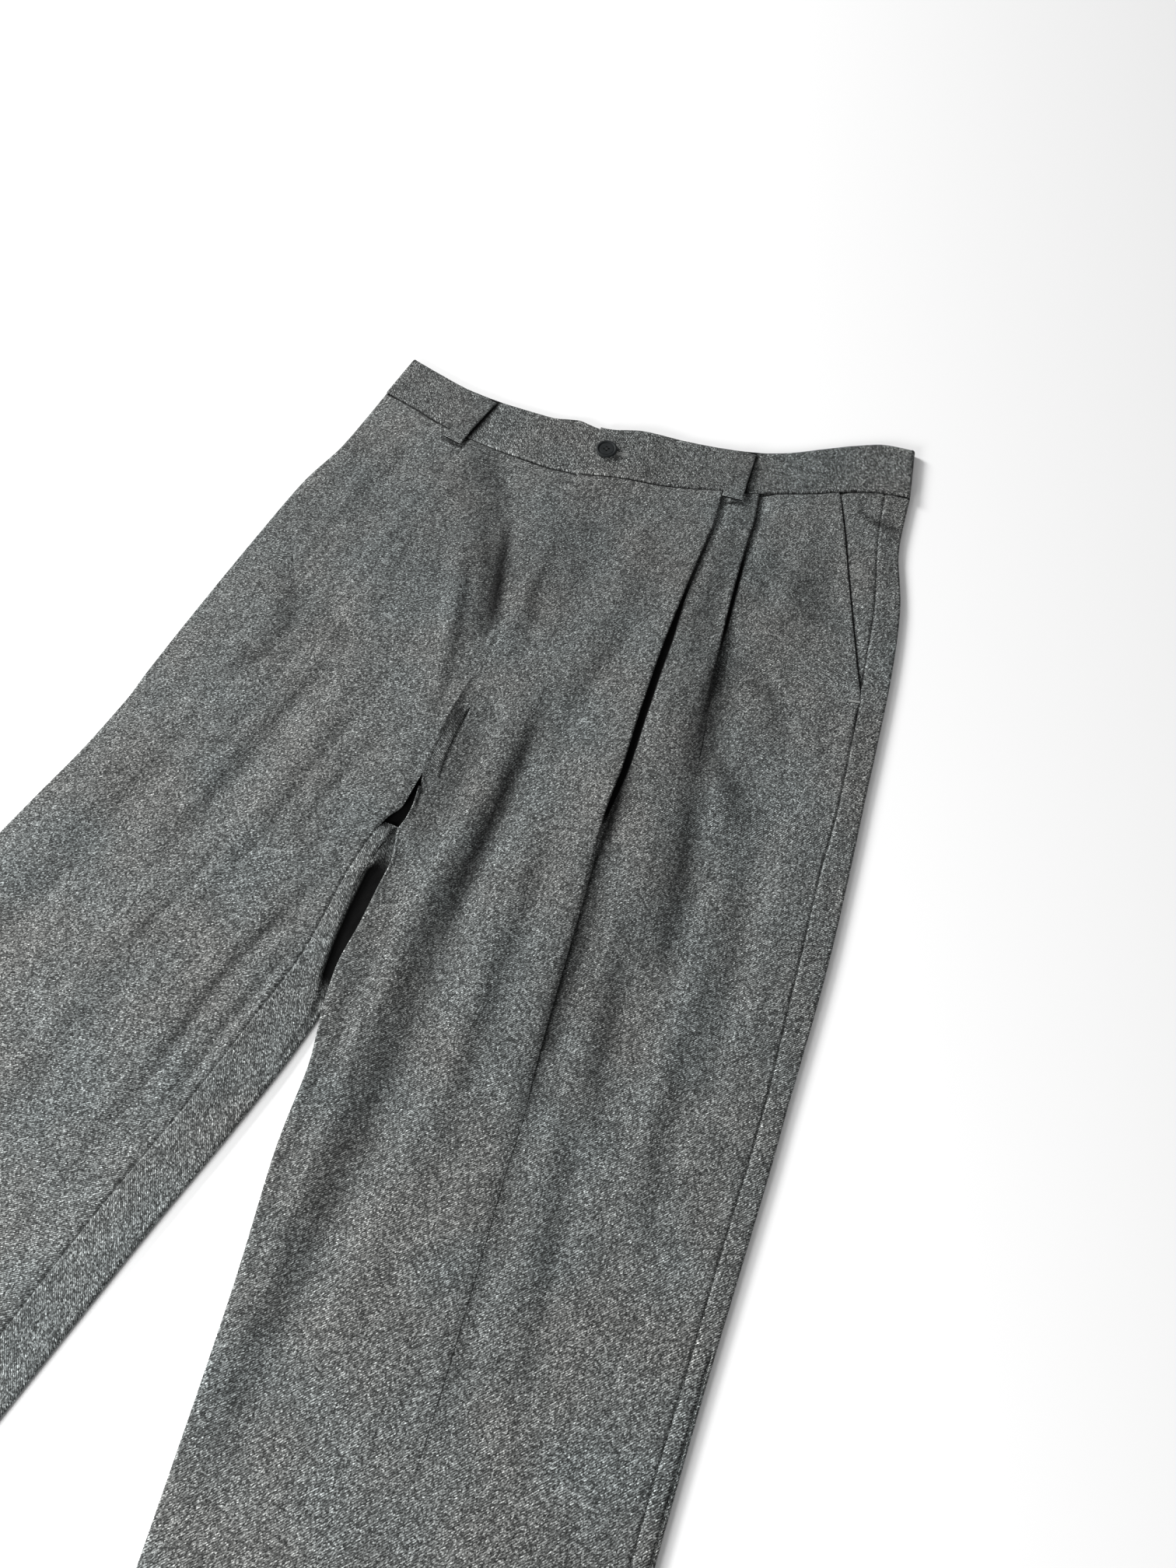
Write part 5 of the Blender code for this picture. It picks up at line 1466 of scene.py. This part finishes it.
def stitch_tree():
    """Stitches laid across a path: one every 'spacing', each a small spindle of thread."""
    tree = bpy.data.node_groups.new("stitches across a path", "GeometryNodeTree")
    face = tree.interface
    face.new_socket("Path", in_out="INPUT", socket_type="NodeSocketGeometry")
    for name in ("Spacing", "Stitch length", "Thread width", "Slant"):
        face.new_socket(name, in_out="INPUT", socket_type="NodeSocketFloat")
    face.new_socket("Seed", in_out="INPUT", socket_type="NodeSocketInt")
    face.new_socket("Thread", in_out="INPUT", socket_type="NodeSocketMaterial")
    face.new_socket("Stitches", in_out="OUTPUT", socket_type="NodeSocketGeometry")
    nodes, links = tree.nodes, tree.links
    given, result = nodes.new("NodeGroupInput"), nodes.new("NodeGroupOutput")
    path = nodes.new("GeometryNodeMeshToCurve")
    even = nodes.new("GeometryNodeResampleCurve")
    even.mode = "LENGTH"
    tangent = nodes.new("GeometryNodeInputTangent")
    turn = nodes.new("FunctionNodeAlignRotationToVector")
    turn.axis = "Y"
    turn.pivot_axis = "Z"
    spindle = nodes.new("GeometryNodeMeshUVSphere")
    spindle.inputs["Segments"].default_value = 8
    spindle.inputs["Rings"].default_value = 6
    spindle.inputs["Radius"].default_value = 0.5
    wobble = nodes.new("FunctionNodeRandomValue")
    wobble.data_type = "FLOAT"
    wobble.inputs[2].default_value = 0.85
    wobble.inputs[3].default_value = 1.12
    long_side = nodes.new("ShaderNodeMath")
    long_side.operation = "MULTIPLY"
    size = nodes.new("ShaderNodeCombineXYZ")
    lean = nodes.new("ShaderNodeCombineXYZ")
    spin = nodes.new("FunctionNodeRotateRotation")
    spin.rotation_space = "LOCAL"
    laid = nodes.new("GeometryNodeInstanceOnPoints")
    real = nodes.new("GeometryNodeRealizeInstances")
    dyed = nodes.new("GeometryNodeSetMaterial")
    links.new(given.outputs["Path"], path.inputs[0])
    links.new(path.outputs[0], even.inputs["Curve"])
    links.new(given.outputs["Spacing"], even.inputs["Length"])
    links.new(tangent.outputs[0], turn.inputs["Vector"])
    links.new(given.outputs["Slant"], lean.inputs["Z"])
    links.new(turn.outputs[0], spin.inputs[0])
    links.new(lean.outputs[0], spin.inputs[1])
    links.new(given.outputs["Seed"], wobble.inputs["Seed"])
    links.new(given.outputs["Stitch length"], long_side.inputs[0])
    links.new(wobble.outputs[1], long_side.inputs[1])
    links.new(long_side.outputs[0], size.inputs["X"])
    links.new(given.outputs["Thread width"], size.inputs["Y"])
    links.new(given.outputs["Thread width"], size.inputs["Z"])
    links.new(even.outputs[0], laid.inputs["Points"])
    links.new(spindle.outputs[0], laid.inputs["Instance"])
    links.new(spin.outputs[0], laid.inputs["Rotation"])
    links.new(size.outputs[0], laid.inputs["Scale"])
    links.new(laid.outputs[0], real.inputs[0])
    links.new(real.outputs[0], dyed.inputs["Geometry"])
    links.new(given.outputs["Thread"], dyed.inputs["Material"])
    links.new(dyed.outputs[0], result.inputs[0])
    return tree


STITCHES = stitch_tree()
GREY_THREAD = thread("grey thread", THREAD_GREY)
BLACK_THREAD = thread("black thread", THREAD_BLACK)


def stitches(name, path, spacing, length, width, finish, seed, slant=0.0):
    """Stitches across a path of plan points, in mm, as one plain mesh; 'slant' in radians."""
    mesh = bpy.data.meshes.new(name)
    mesh.from_pydata(in_metres(path).tolist(), [(k, k + 1) for k in range(len(path) - 1)], [])
    piece = bpy.data.objects.new(name, mesh)
    bpy.context.scene.collection.objects.link(piece)
    sewn = piece.modifiers.new("stitches", "NODES")
    sewn.node_group = STITCHES
    values = {"Spacing": spacing * MM, "Stitch length": length * MM, "Thread width": width * MM,
              "Slant": slant, "Seed": seed, "Thread": finish}
    for item in STITCHES.interface.items_tree:
        if item.name in values:
            sewn[item.identifier] = values[item.name]
    plain = evaluated_mesh(piece)
    piece.modifiers.remove(sewn)
    piece.data = plain
    bpy.data.meshes.remove(mesh)
    plain.name = name
    plain.shade_smooth()
    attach(piece, "root")
    return piece


BUTTONHOLE_ANGLE = 10.0   # from x, along the band
BUTTONHOLE_FROM = 4.0     # past the button's middle
BUTTONHOLE_TO = 14.5
BUTTONHOLE_HALF = 0.75    # from its middle to the bead


def buttonhole():
    """The bead of a worked buttonhole, round the end that shows beside the button."""
    angle = math.radians(BUTTONHOLE_ANGLE)
    along, aside = (math.cos(angle), math.sin(angle)), (-math.sin(angle), math.cos(angle))
    places = [(BUTTONHOLE_FROM, BUTTONHOLE_HALF)]
    for k in range(7):
        turn = math.pi * k / 6
        places.append((BUTTONHOLE_TO + BUTTONHOLE_HALF * math.sin(turn),
                       BUTTONHOLE_HALF * math.cos(turn)))
    places.append((BUTTONHOLE_FROM, -BUTTONHOLE_HALF))
    path = []
    for run, off in places:
        x = BUTTON_AT[0] + run * along[0] + off * aside[0]
        y = BUTTON_AT[1] + run * along[1] + off * aside[1]
        path.append((x, y, float(tab_height(x)) + BAND_WALL / 2 + THREAD_LIFT))
    stitches("buttonhole_stitches", path, spacing=0.42, length=1.5, width=0.45,
             finish=GREY_THREAD, seed=3)


POCKET_BAR_RISE = 0.6     # over the cloth between the edges
POCKET_BAR_RUN = (-6.0, 0.4)    # from and to, past the side seam


def pocket_bar():
    """The bar tack across the lower end of the left pocket's mouth."""
    place = {name: float(value) for name, value in LEFT.at(POCKET_END - 0.02).items()}
    inner = np.array((place["inner_x"], place["inner_y"]))
    outer = np.array((place["outer_x"], place["outer_y"]))
    width = float(np.linalg.norm(outer - inner))
    across = (outer - inner) / width
    path = []
    for run in np.linspace(*POCKET_BAR_RUN, 7):
        x, y = inner + across * (width - place["inset"] + run)
        path.append((x, y, place["loft"] + POCKET_BAR_RISE))
    stitches("pocket_end_bar", path, spacing=0.45, length=2.0, width=0.45,
             finish=GREY_THREAD, seed=5, slant=0.15)


TACK_UP = 1.4             # from the foot's edge
TACK_HALF = 6.2


def loop_tacks():
    """A row of thread across the foot of each front loop."""
    for name, (x, low) in FRONT_LOOPS.items():
        seam, _, up, aside = across_band(x)
        row = seam - up * (LOOP_DROP - TACK_UP)
        height = low + LOOP_WALL / 2 + THREAD_LIFT
        path = [(*(row + aside * side), height) for side in np.linspace(-TACK_HALF, TACK_HALF, 7)]
        stitches(name + "_tack", path, spacing=0.8, length=0.9, width=0.3,
                 finish=BLACK_THREAD, seed=7, slant=0.2)


STRAND_REACH = 0.95 * HOLE_SPREAD    # from the button's middle to a strand's end
STRAND_LIFT = 0.06
STRANDS_HALF = 0.12       # from the middle of a pair to its outer strand


def button_thread():
    """Two pairs of strands between the button's holes."""
    for number, turn in enumerate((HOLE_TURN, HOLE_TURN + 90)):
        angle = math.radians(turn)
        path = [(BUTTON_AT[0] - side * STRANDS_HALF * math.sin(angle),
                 BUTTON_AT[1] + side * STRANDS_HALF * math.cos(angle),
                 BUTTON_SEAT + BUTTON_MIDDLE + STRAND_LIFT) for side in (-1, 1)]
        stitches(f"button_thread_{number + 1}", path, spacing=STRANDS_HALF,
                 length=2 * STRAND_REACH + 0.3, width=0.26,
                 finish=BLACK_THREAD, seed=9)


buttonhole()
pocket_bar()
loop_tacks()
button_thread()


# --- camera, light and floor --------------------------------------------------------
# The camera stands above the lap, a little to the wearer's left, and looks steeply down
# at the waist and thighs. Soft light comes from the upper left, over a pale floor.

EYE = Vector((0.1955, -0.0211, 0.601))
TILT = math.radians(64.9)       # below level
HEADING = math.radians(24.0)    # turned from +y towards -x
LENS = 25.0

eye_data = bpy.data.cameras.new("camera")
eye_data.lens = LENS
eye = bpy.data.objects.new("camera", eye_data)
eye.location = EYE
level = math.cos(TILT)
sight = Vector((-math.sin(HEADING) * level, math.cos(HEADING) * level, -math.sin(TILT)))
eye.rotation_euler = sight.to_track_quat("-Z", "Y").to_euler()
bpy.context.scene.collection.objects.link(eye)
bpy.context.scene.camera = eye
bpy.context.scene.view_settings.view_transform = "Standard"


def soft_light(name, middle, towards, distance, size, power):
    """A round lamp, in metres and watts, at 'distance' from 'middle' and facing it."""
    data = bpy.data.lights.new(name, "AREA")
    data.shape = "DISK"
    data.size = size
    data.energy = power
    lamp = bpy.data.objects.new(name, data)
    direction = Vector(towards).normalized()
    lamp.location = Vector(middle) + direction * distance
    lamp.rotation_euler = (-direction).to_track_quat("-Z", "Y").to_euler()
    lamp.visible_camera = False
    bpy.context.scene.collection.objects.link(lamp)


soft_light("window light", middle=(0.0, 0.15, 0.0), towards=(-0.93, 0.30, 0.46),
           distance=3.0, size=0.9, power=123.0)
soft_light("foot light", middle=(0.04, -0.05, 0.0), towards=(-0.39, -0.70, 0.55),
           distance=0.97, size=0.5, power=11.0)

SKY_STRENGTH = 0.36
FLOOR_TONE = 0.91
FLOOR_HALF = 4.0          # metres

sky = bpy.data.worlds.new("studio")
sky.use_nodes = True
sky.node_tree.nodes["Background"].inputs["Color"].default_value = (1.0, 1.0, 1.0, 1)
sky.node_tree.nodes["Background"].inputs["Strength"].default_value = SKY_STRENGTH
bpy.context.scene.world = sky

floor_mesh = bpy.data.meshes.new("floor")
corners = [(x * FLOOR_HALF, y * FLOOR_HALF, 0) for x, y in ((-1, -1), (1, -1), (1, 1), (-1, 1))]
floor_mesh.from_pydata(corners, [], [(0, 1, 2, 3)])
floor = bpy.data.objects.new("floor", floor_mesh)
bpy.context.scene.collection.objects.link(floor)
paper = bpy.data.materials.new("white paper")
paper.use_nodes = True
paper_shader = paper.node_tree.nodes["Principled BSDF"]
paper_shader.inputs["Base Color"].default_value = (FLOOR_TONE, FLOOR_TONE, FLOOR_TONE, 1)
paper_shader.inputs["Roughness"].default_value = 1.0
floor_mesh.materials.append(paper)
